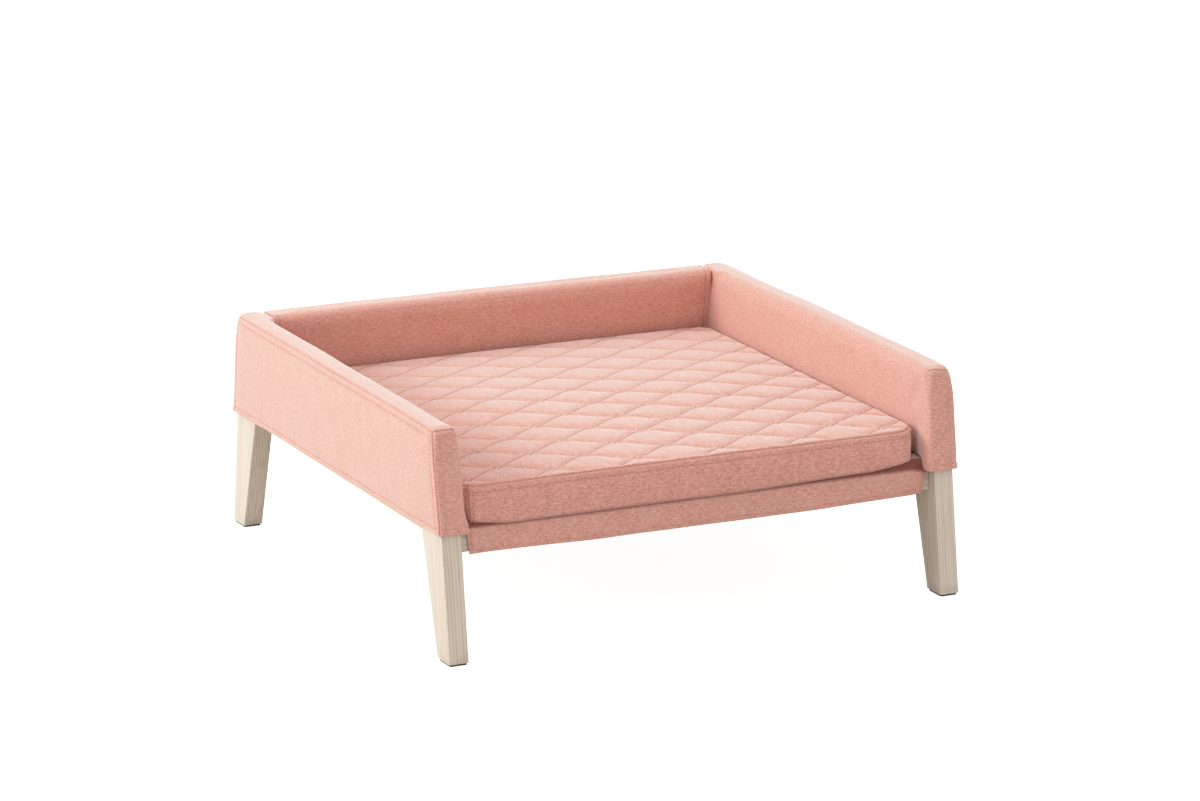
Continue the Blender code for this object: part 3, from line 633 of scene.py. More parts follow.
SIDE_OUT, SIDE_IN, SIDE_HALF = 0.3802, 0.3415, 0.3577
COVER_TOP, HEM, DECK_TOP = 0.3106, 0.1695, 0.1842
HEM_STITCH, SEAM_STITCH, CLOTH_THICK = 0.0078, 0.0100, 0.0012
# How far the legs reach in Y at the floor.
LEG_REACH = 0.375
# How near to an edge the grid lines run: about a hem's topstitch, and on a coarse grid.
HEM_NEAR = (0.0012, 0.0030, 0.0055, 0.0070, 0.0078, 0.0086, 0.0108)
COARSE_NEAR = (0.004, 0.010)


def side_lines(side, inset, step, near=True):
    x = sorted((side * (SIDE_IN + inset), side * (SIDE_OUT - inset)))
    seam = {} if near else {"near": COARSE_NEAR}
    return (
        ruled(x[0], x[1], step, **seam),
        ruled(-SIDE_HALF + inset, SIDE_HALF - inset, step, **seam),
        ruled(HEM, COVER_TOP - inset, step, **(seam or {"near": HEM_NEAR})),
    )


def side_shape(p, side, inset):
    """Puts a flat box of cloth on to a side panel.

    Its top is rounded, its ends lean in, its rear corner sags and its front end is drawn in to the band.
    """
    x, y, z = np.abs(p[:, 0]), p[:, 1], p[:, 2]
    share = (x - SIDE_IN - inset) / (SIDE_OUT - SIDE_IN - 2 * inset)
    top = COVER_TOP - inset
    near_top = smooth(top - 0.045, top - 0.006, z)
    outer = smooth(0.45, 0.55, share)
    near_end = smooth(0.315, 0.352, np.abs(y))
    at_back = smooth(0.297, 0.311, y) * (1 - smooth(0.338, 0.352, y))
    outer_round = 0.0080 if side < 0 else 0.0125
    # At the rear the top runs on level into the back cover's, all but its outer corner.
    joined = smooth(0.290, 0.325, y) * smooth(0.95, 0.55, share)
    inner_round = 0.0165 if side < 0 else 0.0130
    inner_round = inner_round * (1 - at_back) + 0.0014 * at_back - 0.0030 * near_end * (1 - at_back)
    radius = np.stack([
        0.0045 + near_top * ((outer_round - 0.0045) * outer + (inner_round - 0.0045) * (1 - outer)),
        0.0042 + near_top * (0.0125 - 0.0105 * joined) + 0.0020 * (1 - outer) * (1 - near_top),
        (outer_round * outer + inner_round * (1 - outer) + 0.0055 * near_end * outer) * (1 - 0.6 * joined),
    ], 1)
    q = np.stack([x, y, z], 1)
    low = np.array([SIDE_IN + inset, -SIDE_HALF + inset, -9.0])
    high = np.array([SIDE_OUT - inset, SIDE_HALF - inset, top])
    q = rounded(q, low, high, radius)
    length = q[:, 1] / SIDE_HALF
    up = smooth(HEM, top, z)
    # The board's ends lean in with height.
    q[:, 1] *= (LEG_REACH - LEG_LEAN * q[:, 2] + 0.0052) / (LEG_REACH - LEG_LEAN * HEM + 0.0052)
    # The filled faces stand a little proud, most at the outside near the top.
    swell = np.sin(math.pi * np.clip((z - HEM) / (top - HEM), 0, 1)) * (1 - np.abs(length) ** 6)
    q[:, 0] += outer * (0.0010 * swell + 0.0016 * up) - (1 - outer) * 0.0008 * swell
    rough = uneven(y, z, 11 if side < 0 else 23, 0.16)
    low_wave = 0.0008 * outer * uneven(y, y * 0, 31 + side, 0.11) * (1 - smooth(HEM, HEM + 0.05, z))
    q[:, 0] += 0.00055 * rough + low_wave
    # Top line.
    sag = 0.0018 + 0.0022 * smooth(-0.05, 0.33, y) if side > 0 else 0.0
    q[:, 2] -= smooth(HEM + 0.07, top, z) * (sag + 0.0005 * uneven(y, x, 5 + side, 0.14))
    # The hem hangs a touch lower at the rear, and the inner face ends on the deck.
    hem_line = -0.0022 * y / SIDE_HALF + 0.0005 * uneven(y, x * 3, 47 + side, 0.10)
    q[:, 2] += (1 - smooth(HEM, HEM + 0.06, z)) * hem_line
    inner = 1 - smooth(0.0, 0.12, share)
    on_deck = inner * smooth(-0.3412, -0.3375, y) * (1 - smooth(0.290, 0.300, y))
    deck = DECK_TOP + inset * 0.3
    q[:, 2] += on_deck * (deck - HEM) * (1 - np.clip((z - HEM) / (top - HEM), 0, 1))
    # At the front the inner face is drawn in towards the band.
    if side > 0:
        draw = 0.0060 * smooth(-0.310, -0.342, y) * smooth(0.245, 0.178, z)
    else:
        draw = 0.0052 * smooth(-0.334, -0.350, y) * smooth(0.205, 0.172, z)
    q[:, 0] -= draw * (1 - smooth(0.0, 0.55, share)) * (1 if not inset else 0.3)
    q[:, 0] *= side
    return q


def edge_distance(p):
    """Distance along the cloth to the nearest seam: on each face, the nearer of the seams that bound it."""
    x, y, z = np.abs(p[:, 0]), p[:, 1], p[:, 2]
    down, end, out_in = COVER_TOP - z, SIDE_HALF - np.abs(y), SIDE_OUT - x
    far = np.full(len(p), 1.0)
    on_out, on_end, on_top = out_in < 1e-6, end < 1e-6, down < 1e-6
    far[on_out] = np.minimum(down, end)[on_out]
    far[on_end & ~on_out] = np.minimum(down, out_in)[on_end & ~on_out]
    rest = on_top & ~on_out & ~on_end
    far[rest] = np.minimum(out_in, end)[rest]
    return far


def stitched(box, points, far, hem):
    """Sinks the seams and the rows of topstitching into the cloth, rolls the hem, and gives painted shade for the
    seam and its topstitch.
    """
    p, out = box.flat, box.facing(points)
    run = p[:, 0] + p[:, 1] + p[:, 2]
    pucker = np.sin(run * 2 * math.pi / 0.0095 + 2.0 * np.sin(run * 37)) * (0.6 + 0.4 * np.sin(run * 91))
    rise = -0.0011 * ridge(far, 0, 0.0012) + 0.00040 * ridge(far, 0.0042, 0.0024)
    rise += -0.00045 * ridge(far, SEAM_STITCH, 0.0013)
    rise += 0.00016 * pucker * ridge(far, 0.006, 0.006)
    rolled = 0.0007 * (1 - smooth(HEM_STITCH - 0.0006, HEM_STITCH + 0.0010, hem))
    rise += rolled - 0.00035 * ridge(hem, HEM_STITCH, 0.0011)
    rise += 0.00022 * pucker * ridge(hem, HEM_STITCH, 0.005)
    # Painted shade in the seam's groove and along its topstitch.
    painted_shade = 0.38 * ridge(far, 0, 0.0011) + 0.17 * ridge(far, SEAM_STITCH, 0.0010)
    return points + out * rise[:, None], painted_shade


# Stitches: a bead of thread for each, with the needle's hole at its end, a small dark dent coloured as painted shade.
t, given, out = tree_of(
    "stitch_row",
    [
        ("Stitch Length", "Float", 0.003), ("Stitch Width", "Float", 0.0006), ("Pitch", "Float", 0.0042),
        ("Hole", "Float", 0.0005), ("Thread", "Material", None), ("Hole Shade", "Material", None),
    ],
)
row = put(t, "GeometryNodeMeshToCurve", {"Mesh": given["Geometry"]}).outputs[0]
row = put(t, "GeometryNodeResampleCurve", {"Curve": row, "Length": given["Pitch"]}, mode="LENGTH").outputs[0]
facing = put(t, "GeometryNodeInputNamedAttribute", {"Name": "facing"}, data_type="FLOAT_VECTOR").outputs[0]
tangent = put(t, "GeometryNodeInputTangent").outputs[0]
turn = put(t, "FunctionNodeAlignRotationToVector", {"Vector": facing}, axis="Z").outputs[0]
turn = {"Rotation": turn, "Vector": tangent}
turn = put(t, "FunctionNodeAlignRotationToVector", turn, axis="X", pivot_axis="Z").outputs[0]
bead = put(t, "GeometryNodeMeshUVSphere", {"Segments": 6, "Rings": 4, "Radius": 0.5}).outputs["Mesh"]
size = {0: given["Stitch Length"], 1: given["Stitch Width"], 2: given["Stitch Width"]}
size = put(t, "ShaderNodeCombineXYZ", size).outputs[0]
bead = put(t, "GeometryNodeTransform", {"Geometry": bead, "Scale": size}).outputs[0]
bead = put(t, "GeometryNodeSetMaterial", {"Geometry": bead, "Material": given["Thread"]}).outputs[0]
hole = put(t, "GeometryNodeMeshUVSphere", {"Segments": 6, "Rings": 3, "Radius": 1.0}).outputs["Mesh"]
hole_width, hole_depth = (sums(t, "MULTIPLY", given["Hole"], share) for share in (0.9, 0.45))
size = put(t, "ShaderNodeCombineXYZ", {0: given["Hole"], 1: hole_width, 2: hole_depth}).outputs[0]
half = {0: sums(t, "MULTIPLY", given["Pitch"], 0.5), 2: sums(t, "MULTIPLY", given["Stitch Width"], -0.30)}
half = put(t, "ShaderNodeCombineXYZ", half).outputs[0]
hole = put(t, "GeometryNodeTransform", {"Geometry": hole, "Scale": size, "Translation": half}).outputs[0]
hole = put(t, "GeometryNodeSetMaterial", {"Geometry": hole, "Material": given["Hole Shade"]}).outputs[0]
pair = put(t, "GeometryNodeJoinGeometry")
for part in (bead, hole):
    t.links.new(part, pair.inputs[0])
spread = {"Points": row, "Instance": pair.outputs[0], "Rotation": turn}
spread = put(t, "GeometryNodeInstanceOnPoints", spread).outputs[0]
real = put(t, "GeometryNodeRealizeInstances", {0: spread}).outputs[0]
t.links.new(real, out.inputs[0])
stitch_tree = t


def thread_of(name, light, deep, bright):
    """Twisted sewing thread, or, with bright off, the dark painted shade at the bottom of a needle hole."""
    m = bpy.data.materials.new(name)
    m.use_nodes = True
    t = m.node_tree
    place = put(t, "ShaderNodeTexCoord").outputs["Object"]
    ply = put(t, "ShaderNodeTexNoise", {"Vector": place, "Scale": 2600.0, "Detail": 2.0}).outputs[0]
    shader = t.nodes["Principled BSDF"]
    t.links.new(mixed(t, between(t, ply, 0.35, 0.65), (*deep, 1), (*light, 1)), shader.inputs["Base Color"])
    t.links.new(sums(t, "MULTIPLY_ADD", ply, 0.2, 0.5 if bright else 0.8), shader.inputs["Roughness"])
    bump = put(t, "ShaderNodeBump", {"Height": ply, "Strength": 0.5, "Distance": 0.0002})
    t.links.new(bump.outputs[0], shader.inputs["Normal"])
    shader.inputs["Specular IOR Level"].default_value = 0.3 if bright else 0.1
    return m


sewing_thread = thread_of("sewing_thread", (0.80, 0.45, 0.37), (0.62, 0.29, 0.22), True)
# The holes' dark colour is painted shade, for the shadow inside each needle hole.
painted_hole_shade = thread_of("painted_hole_shade", (0.24, 0.052, 0.032), (0.13, 0.026, 0.016), False)


def sewn(name, box, points, rows, length, width, pitch, hole, body, sink=0.25):
    """Sews rows of stitches, each a run of spots on the box's skin, on to the finished surface."""
    out = box.facing(points)
    at, ways, edges = [], [], []
    for row in rows:
        row = np.asarray(row, float)
        place, way = box.read(points, row), box.read(out, row)
        way /= np.linalg.norm(way, axis=1)[:, None]
        first = sum(len(a) for a in at)
        edges += [(first + i, first + i + 1) for i in range(len(row) - 1)]
        at.append(place + way * width * sink)
        ways.append(way)
    return grown(
        name, np.concatenate(at), edges, {"facing": np.concatenate(ways)}, stitch_tree,
        {
            "Stitch Length": length, "Stitch Width": width, "Pitch": pitch, "Hole": hole,
            "Thread": sewing_thread, "Hole Shade": painted_hole_shade,
        },
        body,
    )


def run(a, b, step=0.003):
    """Evenly spaced spots from one place on the skin to another."""
    a, b = np.array(a, float), np.array(b, float)
    return a + (b - a) * np.linspace(0, 1, max(2, int(np.linalg.norm(b - a) / step)))[:, None]


def corner(a, b, c, radius=0.010):
    """A stitched row a to b to c that turns its corner on a curve."""
    a, b, c = (np.array(v, float) for v in (a, b, c))
    u, v = (a - b) / np.linalg.norm(a - b), (c - b) / np.linalg.norm(c - b)
    angle = np.linspace(0, math.pi / 2, 7)[:, None]
    arc = b + (u + v) * radius - u * radius * np.sin(angle) - v * radius * np.cos(angle)
    return np.concatenate([run(a, b + u * radius)[:-1], arc[:-1], run(b + v * radius, c)])


for side, word in ((-1, "left"), (1, "right")):
    coarse = SewnForm(*side_lines(side, 0.0, 0.0075, near=False))
    rest = side_shape(coarse.flat, side, 0.0)
    p = coarse.flat
    held = (edge_distance(p) < 1e-6) | (p[:, 2] < HEM + 0.001)
    pushed = give(coarse, rest, held, 2.2, 0.0008, 0.0020, f"side_give_{word}")
    box = SewnForm(*side_lines(side, 0.0, 0.0045))
    skin = side_shape(box.flat, side, 0.0) + coarse.read(pushed, box.flat)
    far = edge_distance(box.flat)
    inner_face = np.abs(np.abs(box.flat[:, 0]) - SIDE_IN) < 1e-6
    hem = np.where(inner_face, 1.0, box.flat[:, 2] - HEM)
    skin, painted_shade = stitched(box, skin, far, hem)
    cover = box.piece(f"cover_{word}_cloth", skin, cover_cloth, CLOTH_THICK, painted_shade)
    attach(cover, "frame")
    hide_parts(f"cover_{word}")

    o, i = side * SIDE_OUT, side * SIDE_IN
    s, e, top = SEAM_STITCH, SIDE_HALF, COVER_TOP
    rows = [
        corner((o, -e + s, HEM + 0.001), (o, -e + s, top - s), (o, 0, top - s)),
        corner((o, e - s, HEM + 0.001), (o, e - s, top - s), (o, 0.002, top - s)),
        run((o, -e + 0.001, HEM + HEM_STITCH), (o, e - 0.001, HEM + HEM_STITCH)),
        run((o - side * 0.001, -e, HEM + HEM_STITCH), (i + side * 0.001, -e, HEM + HEM_STITCH)),
        run((o - side * 0.001, e, HEM + HEM_STITCH), (i + side * 0.001, e, HEM + HEM_STITCH)),
    ]
    sewn(f"cover_{word}_stitches", box, skin, rows, 0.0028, 0.00055, 0.0044, 0.00062, "frame")


# Wadding on the panels.
# White polyester fleece about 3 mm thick, wrapped over each panel before its cover goes on, so the
# edges feel soft and the cover stands clear of the wood.
wadding = bpy.data.materials.new("wadding")
wadding.use_nodes = True
t = wadding.node_tree
place = put(t, "ShaderNodeTexCoord").outputs["Object"]
lint = put(t, "ShaderNodeTexNoise", {"Vector": place, "Scale": 520.0, "Detail": 5.0, "Distortion": 2.0}).outputs[0]
puff = put(t, "ShaderNodeTexNoise", {"Vector": place, "Scale": 60.0, "Detail": 2.0}).outputs[0]
colour = mixed(t, between(t, lint, 0.3, 0.7), (0.70, 0.69, 0.66, 1), (0.90, 0.90, 0.88, 1))
t.links.new(colour, t.nodes["Principled BSDF"].inputs["Base Color"])
nap = sums(t, "ADD", lint, sums(t, "MULTIPLY", puff, 2.0))
bump = put(t, "ShaderNodeBump", {"Height": nap, "Strength": 0.8, "Distance": 0.0012})
t.links.new(bump.outputs[0], t.nodes["Principled BSDF"].inputs["Normal"])
t.nodes["Principled BSDF"].inputs["Roughness"].default_value = 0.95
t.nodes["Principled BSDF"].inputs["Sheen Weight"].default_value = 0.4

WADDING_INSET, WADDING_THICK = 0.0017, 0.0026
for side, word in ((-1, "left"), (1, "right")):
    box = SewnForm(*side_lines(side, WADDING_INSET, 0.009, near=False))
    skin = side_shape(box.flat, side, WADDING_INSET)
    skin += box.facing(skin) * (0.00025 * uneven(skin[:, 1], skin[:, 2], 71 + side, 0.05))[:, None]
    fleece = box.piece(f"wadding_{word}", skin, wadding, WADDING_THICK)
    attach(fleece, "frame")
    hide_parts(f"padding_{word}")


# Back cover.
# Sewn like the side covers from the same cloth, it spans between them and leans in with the back
# panel. Its ends are seamed to the side covers, with a topstitch on the back's own face.
BACK_HALF, BACK_DEEP = 0.3413, 0.0386


def back_lines(inset, step, near=True):
    seam = {} if near else {"near": COARSE_NEAR}
    return (
        ruled(-BACK_HALF + inset * 0.4, BACK_HALF - inset * 0.4, step, **seam),
        ruled(-BACK_DEEP + inset, -inset, step, **seam),
        ruled(HEM, COVER_TOP - inset, step, **(seam or {"near": HEM_NEAR})),
    )


def back_shape(p, inset):
    """Puts a flat box of cloth on to the back panel."""
    x, depth, z = p.T
    top = COVER_TOP - inset
    outer = smooth(-BACK_DEEP * 0.55, -BACK_DEEP * 0.45, depth)
    near_top = smooth(top - 0.045, top - 0.006, z)
    radius = np.stack([
        0.0030 - 0.0018 * near_top,
        0.0030 + near_top * (0.0050 * outer + 0.0105 * (1 - outer)),
        0.0085 * outer + 0.0130 * (1 - outer),
    ], 1)
    low = np.array([-BACK_HALF + inset * 0.4, -BACK_DEEP + inset, -9.0])
    high = np.array([BACK_HALF - inset * 0.4, -inset, top])
    q = rounded(p, low, high, radius)
    across = q[:, 0] / BACK_HALF
    swell = np.sin(math.pi * np.clip((z - HEM) / (top - HEM), 0, 1)) * (1 - across**6)
    q[:, 1] += outer * 0.0012 * swell - (1 - outer) * 0.0010 * swell
    low_wave = 0.0008 * outer * uneven(x, z * 0, 85, 0.11) * (1 - smooth(HEM, HEM + 0.05, z))
    q[:, 1] += 0.00055 * uneven(x, z, 83, 0.16) + low_wave
    q[:, 2] -= smooth(HEM + 0.07, top, z) * (0.0038 * smooth(-0.30, 0.34, x) + 0.0005 * uneven(x, depth, 87, 0.15))
    q[:, 2] += (1 - smooth(HEM, HEM + 0.06, z)) * (-0.0018 + 0.0005 * uneven(x, depth * 3, 89, 0.10))
    inner = 1 - smooth(-BACK_DEEP + inset, -BACK_DEEP + inset + 0.005, depth)
    deck = DECK_TOP + inset * 0.3
    q[:, 2] += inner * (deck - HEM + 0.0018) * (1 - np.clip((z - HEM) / (top - HEM), 0, 1))
    q[:, 1] = q[:, 1] * 1.0088 + LEG_REACH - LEG_LEAN * q[:, 2] + 0.0053
    return q


def back_edges(p):
    x, depth, z = p.T
    down, end = COVER_TOP - z, BACK_HALF - np.abs(x)
    far = end.copy()
    on_out, on_end = depth > -1e-6, end < 1e-6
    far[on_out] = np.minimum(down, end)[on_out]
    far[on_end] = 0.0
    on_top = (down < 1e-6) & ~on_out & ~on_end
    far[on_top] = np.minimum(-depth, end)[on_top]
    return far


coarse = SewnForm(*back_lines(0.0, 0.0075, near=False))
rest = back_shape(coarse.flat, 0.0)
held = (back_edges(coarse.flat) < 1e-6) | (coarse.flat[:, 2] < HEM + 0.001)
pushed = give(coarse, rest, held, 2.2, 0.0008, 0.0020, "back_give")
box = SewnForm(*back_lines(0.0, 0.0045))
skin = back_shape(box.flat, 0.0) + coarse.read(pushed, box.flat)
hem = np.where(box.flat[:, 1] < -BACK_DEEP + 1e-6, 1.0, box.flat[:, 2] - HEM)
skin, painted_shade = stitched(box, skin, back_edges(box.flat), hem)
cover = box.piece("cover_back_cloth", skin, cover_cloth, CLOTH_THICK, painted_shade)
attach(cover, "frame")
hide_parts("cover_back")
w, s = BACK_HALF, SEAM_STITCH
rows = [
    corner((-w + s, 0, HEM + 0.001), (-w + s, 0, COVER_TOP - s), (0, 0, COVER_TOP - s)),
    corner((w - s, 0, HEM + 0.001), (w - s, 0, COVER_TOP - s), (0.002, 0, COVER_TOP - s)),
    run((-w + 0.001, 0, HEM + HEM_STITCH), (w - 0.001, 0, HEM + HEM_STITCH)),
    run((-w + s, -BACK_DEEP, HEM + 0.02), (-w + s, -BACK_DEEP, COVER_TOP - 0.001)),
    run((w - s, -BACK_DEEP, HEM + 0.02), (w - s, -BACK_DEEP, COVER_TOP - 0.001)),
]
sewn("cover_back_stitches", box, skin, rows, 0.0028, 0.00055, 0.0044, 0.00062, "frame")
box = SewnForm(*back_lines(WADDING_INSET, 0.009, near=False))
skin = back_shape(box.flat, WADDING_INSET)
skin += box.facing(skin) * (0.00025 * uneven(skin[:, 0], skin[:, 2], 75, 0.05))[:, None]
fleece = box.piece("wadding_back", skin, wadding, WADDING_THICK)
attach(fleece, "frame")
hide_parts("padding_back")


# Front band.
# A strip of the cover cloth sewn to the deck's front edge, laid over the front rail and down its
# face, hemmed along the bottom and at both ends and held under the rail with hook tape.
BAND_LEFT, BAND_RIGHT, BAND_FRONT, BAND_LOW, BAND_TOP = -0.3295, 0.3423, -0.3377, 0.1388, 0.1841


class SewnStrip:
    """A strip of cloth as one grid of quads: steps along it by steps down it."""

    def __init__(self, points, along, down):
        self.shape = points.shape[:2]
        number = np.arange(points.shape[0] * points.shape[1]).reshape(self.shape)
        self.quads = np.stack([number[:-1, :-1], number[1:, :-1], number[1:, 1:], number[:-1, 1:]], -1).reshape(-1, 4)
        self.points = points.reshape(-1, 3)
        spread = np.stack(np.meshgrid(along, down, indexing="ij"), -1).reshape(-1, 2)
        self.laid = spread[self.quads]
        self.along, self.down = along, down

    facing = SewnForm.facing
    piece = SewnForm.piece

    def read(self, data, spots):
        steps = [step_of(self.along, spots[:, 0]), step_of(self.down, spots[:, 1])]
        return blended(data, np.arange(len(data)).reshape(self.shape), steps)


bend = np.linspace(0, math.pi / 2, 9)
BEND = 0.0050
section = [(-0.3085 - 0.0035 * n, BAND_TOP) for n in range(7)]
section += [(BAND_FRONT + BEND - BEND * math.sin(a), BAND_TOP - BEND + BEND * math.cos(a)) for a in bend]
drop = BAND_TOP - BEND - BAND_LOW
section += [(BAND_FRONT, BAND_TOP - BEND - drop * n / 22) for n in range(1, 23)]
section = np.array(section)
down = np.concatenate([[0], np.cumsum(np.linalg.norm(np.diff(section, axis=0), axis=1))])
along = ruled(BAND_LEFT, BAND_RIGHT, 0.0040, near=(0.0010, 0.0024, 0.0040, 0.0048, 0.0056, 0.0075))
grid = np.zeros((len(along), len(down), 3))
grid[:, :, 0], grid[:, :, 1], grid[:, :, 2] = along[:, None], section[None, :, 0], section[None, :, 1]
front = smooth(0.026, 0.038, down)[None, :]
low_edge = down[-1] - down[None, :]
across = along[:, None]
swell = 0.0006 * np.sin(math.pi * np.clip(low_edge / drop, 0, 1))
grid[:, :, 1] -= front * (swell + 0.0005 * uneven(across, low_edge, 101, 0.13))
grid[:, :, 1] -= front * 0.0012 * (1 + uneven(across, low_edge * 0, 103, 0.12)) * smooth(0.020, 0.0, low_edge)
grid[:, :, 2] += front * smooth(0.03, 0.0, low_edge) * (0.0006 * uneven(across, low_edge * 0, 105, 0.2))
grid[:, :, 2] += (1 - front) * 0.0002 * uneven(across, down[None, :], 107, 0.08)
# The right end is cut on a slant below, and above that it dips towards the side cover's fold.
right = smooth(BAND_RIGHT - 0.030, BAND_RIGHT, across)
grid[:, :, 0] -= right * front * 0.0070 * np.clip((0.034 - low_edge) / 0.034, 0, 1)
grid[:, :, 0] -= right * (1 - front) * 0.0030
grid[:, :, 2] -= smooth(0.316, BAND_RIGHT, across) * front * np.clip((low_edge - 0.012) / 0.030, 0, 1) * 0.0060
grid[:, :, 2] += right * smooth(0.012, 0.0, low_edge) * 0.0010
left = smooth(BAND_LEFT + 0.030, BAND_LEFT, across)
grid[:, :, 0] -= left * 0.0055 * np.clip(low_edge / drop, 0, 1)
hang = 0.0012 + 0.0030 * smooth(-0.33, -0.12, across) - 0.0012 * smooth(0.10, 0.34, across)
grid[:, :, 2] -= front * hang * (1 - np.clip(low_edge / drop, 0, 1))
ends = np.minimum(across - BAND_LEFT, BAND_RIGHT - across)
edge = np.minimum(np.broadcast_to(low_edge, grid.shape[:2]), np.broadcast_to(ends, grid.shape[:2]))
ripple = np.sin((across + low_edge) * 2 * math.pi / 0.0095 + 2 * np.sin(across * 41))
ripple = ripple * (0.6 + 0.4 * np.sin(across * 77))
band = SewnStrip(grid, along, down)
rise = 0.0006 * (1 - smooth(0.0042, 0.0056, edge)) - 0.0003 * ridge(edge, 0.0048, 0.0009)
rise = rise + 0.00015 * ripple * ridge(edge, 0, 0.008)
# Keep the strip's back edge flush with the deck cloth it is sewn to.
rise = rise * smooth(0.0, 0.012, down)[None, :]
skin = band.points + band.facing(band.points) * rise.reshape(-1)[:, None]
# Painted shade along the band's topstitch.
painted_shade = 0.17 * ridge(edge, 0.0048, 0.0009)
# Painted shadow: the top of the strip is darkened where the mattress hangs over it.
painted_shade = np.maximum(painted_shade, 0.9 * smooth(0.010, 0.004, drop - low_edge) * smooth(0.020, 0.026, down)[None, :]).reshape(-1)
piece = band.piece("front_band_cloth", skin, cover_cloth, CLOTH_THICK, painted_shade)
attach(piece, "frame")
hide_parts("front_band")

# How far the band's topstitch runs from its edges.
h = 0.0048
rows = [
    run((BAND_LEFT + 0.001, down[-1] - h), (BAND_RIGHT - 0.001, down[-1] - h)),
    run((BAND_LEFT + h, 0.004), (BAND_LEFT + h, down[-1] - 0.001)),
    run((BAND_RIGHT - h, 0.004), (BAND_RIGHT - h, down[-1] - 0.001)),
    run((BAND_LEFT + 0.002, 0.005), (BAND_RIGHT - 0.002, 0.005)),
]
sewn("front_band_stitches", band, skin, rows, 0.0027, 0.00050, 0.0042, 0.00050, "frame")


# Deck cloth.
# A plain cotton canvas laid over the slats under the mattress and sewn all round to the covers and
# the band. It dips slightly between the slats.
DECK_LOW, DECK_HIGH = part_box("deck_cloth")
canvas = cloth_of("deck_canvas", (0.60, 0.42, 0.36), (0.44, 0.27, 0.22), 0.0009, 0.15, sheen=0.15)
along = np.linspace(DECK_LOW.x + 0.001, DECK_HIGH.x - 0.001, 131)
down = np.linspace(DECK_LOW.y + 0.0002, DECK_HIGH.y - 0.012, 121)
grid = np.zeros((len(along), len(down), 3))
grid[:, :, 0], grid[:, :, 1] = along[:, None], down[None, :]
gap = 0.5 - 0.5 * np.cos(2 * math.pi * (down - (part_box("slat_1")[0].y + 0.030)) / 0.080)
gap = smooth(0.35, 1.0, gap) * smooth(-0.300, -0.285, down)
grid[:, :, 2] = DECK_HIGH.z - 0.0010 * gap[None, :] * smooth(0.342, 0.300, np.abs(along))[:, None]
grid[:, :, 2] -= 0.00012 * (1 + uneven(grid[:, :, 0], grid[:, :, 1], 111, 0.09))
deck = SewnStrip(grid, along, down)
piece = deck.piece("deck_canvas_sheet", deck.points, canvas, 0.0009)
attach(piece, "frame")
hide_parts("deck_cloth")
rows = [run((x, down[0] + 0.004), (x, down[-1] - 0.006)) for x in (along[0] + 0.006, along[-1] - 0.006)]
sewn("deck_canvas_stitches", deck, deck.points, rows, 0.0030, 0.0005, 0.0042, 0.00036, "frame")


# Mattress.
# A slab of foam in a zipped cover. The top is the cover cloth quilted to wadding in an onion
# pattern of wavy rows, sewn to a plain border strip with a flat seam and a topstitch below it.
MAT_LEFT, MAT_RIGHT, MAT_FRONT, MAT_REAR, MAT_LOW, MAT_SEAM = -0.3385, 0.3320, -0.3368, 0.3015, 0.1842, 0.2258
MAT_MID = np.array([(MAT_LEFT + MAT_RIGHT) / 2, (MAT_FRONT + MAT_REAR) / 2])
MAT_HALF = np.array([(MAT_RIGHT - MAT_LEFT) / 2, (MAT_REAR - MAT_FRONT) / 2])
MAT_CORNER = 0.024
MAT_CORNER_RIGHT = 0.036
QUILT_WIDE, QUILT_PITCH, QUILT_X, QUILT_Y = 0.1222, 0.03744, -0.13713, -0.27181
ZIP_Z, ZIP_END = 0.199, 0.262


def mattress_lines(inset, step, near=True, high_step=0.0026):
    seam = {} if near else {"near": COARSE_NEAR}
    return (
        ruled(MAT_LEFT + inset, MAT_RIGHT - inset, step, **seam),
        ruled(MAT_FRONT + inset, MAT_REAR - inset, step, **seam),
        ruled(MAT_LOW + inset, MAT_SEAM - inset, high_step, **seam),
    )


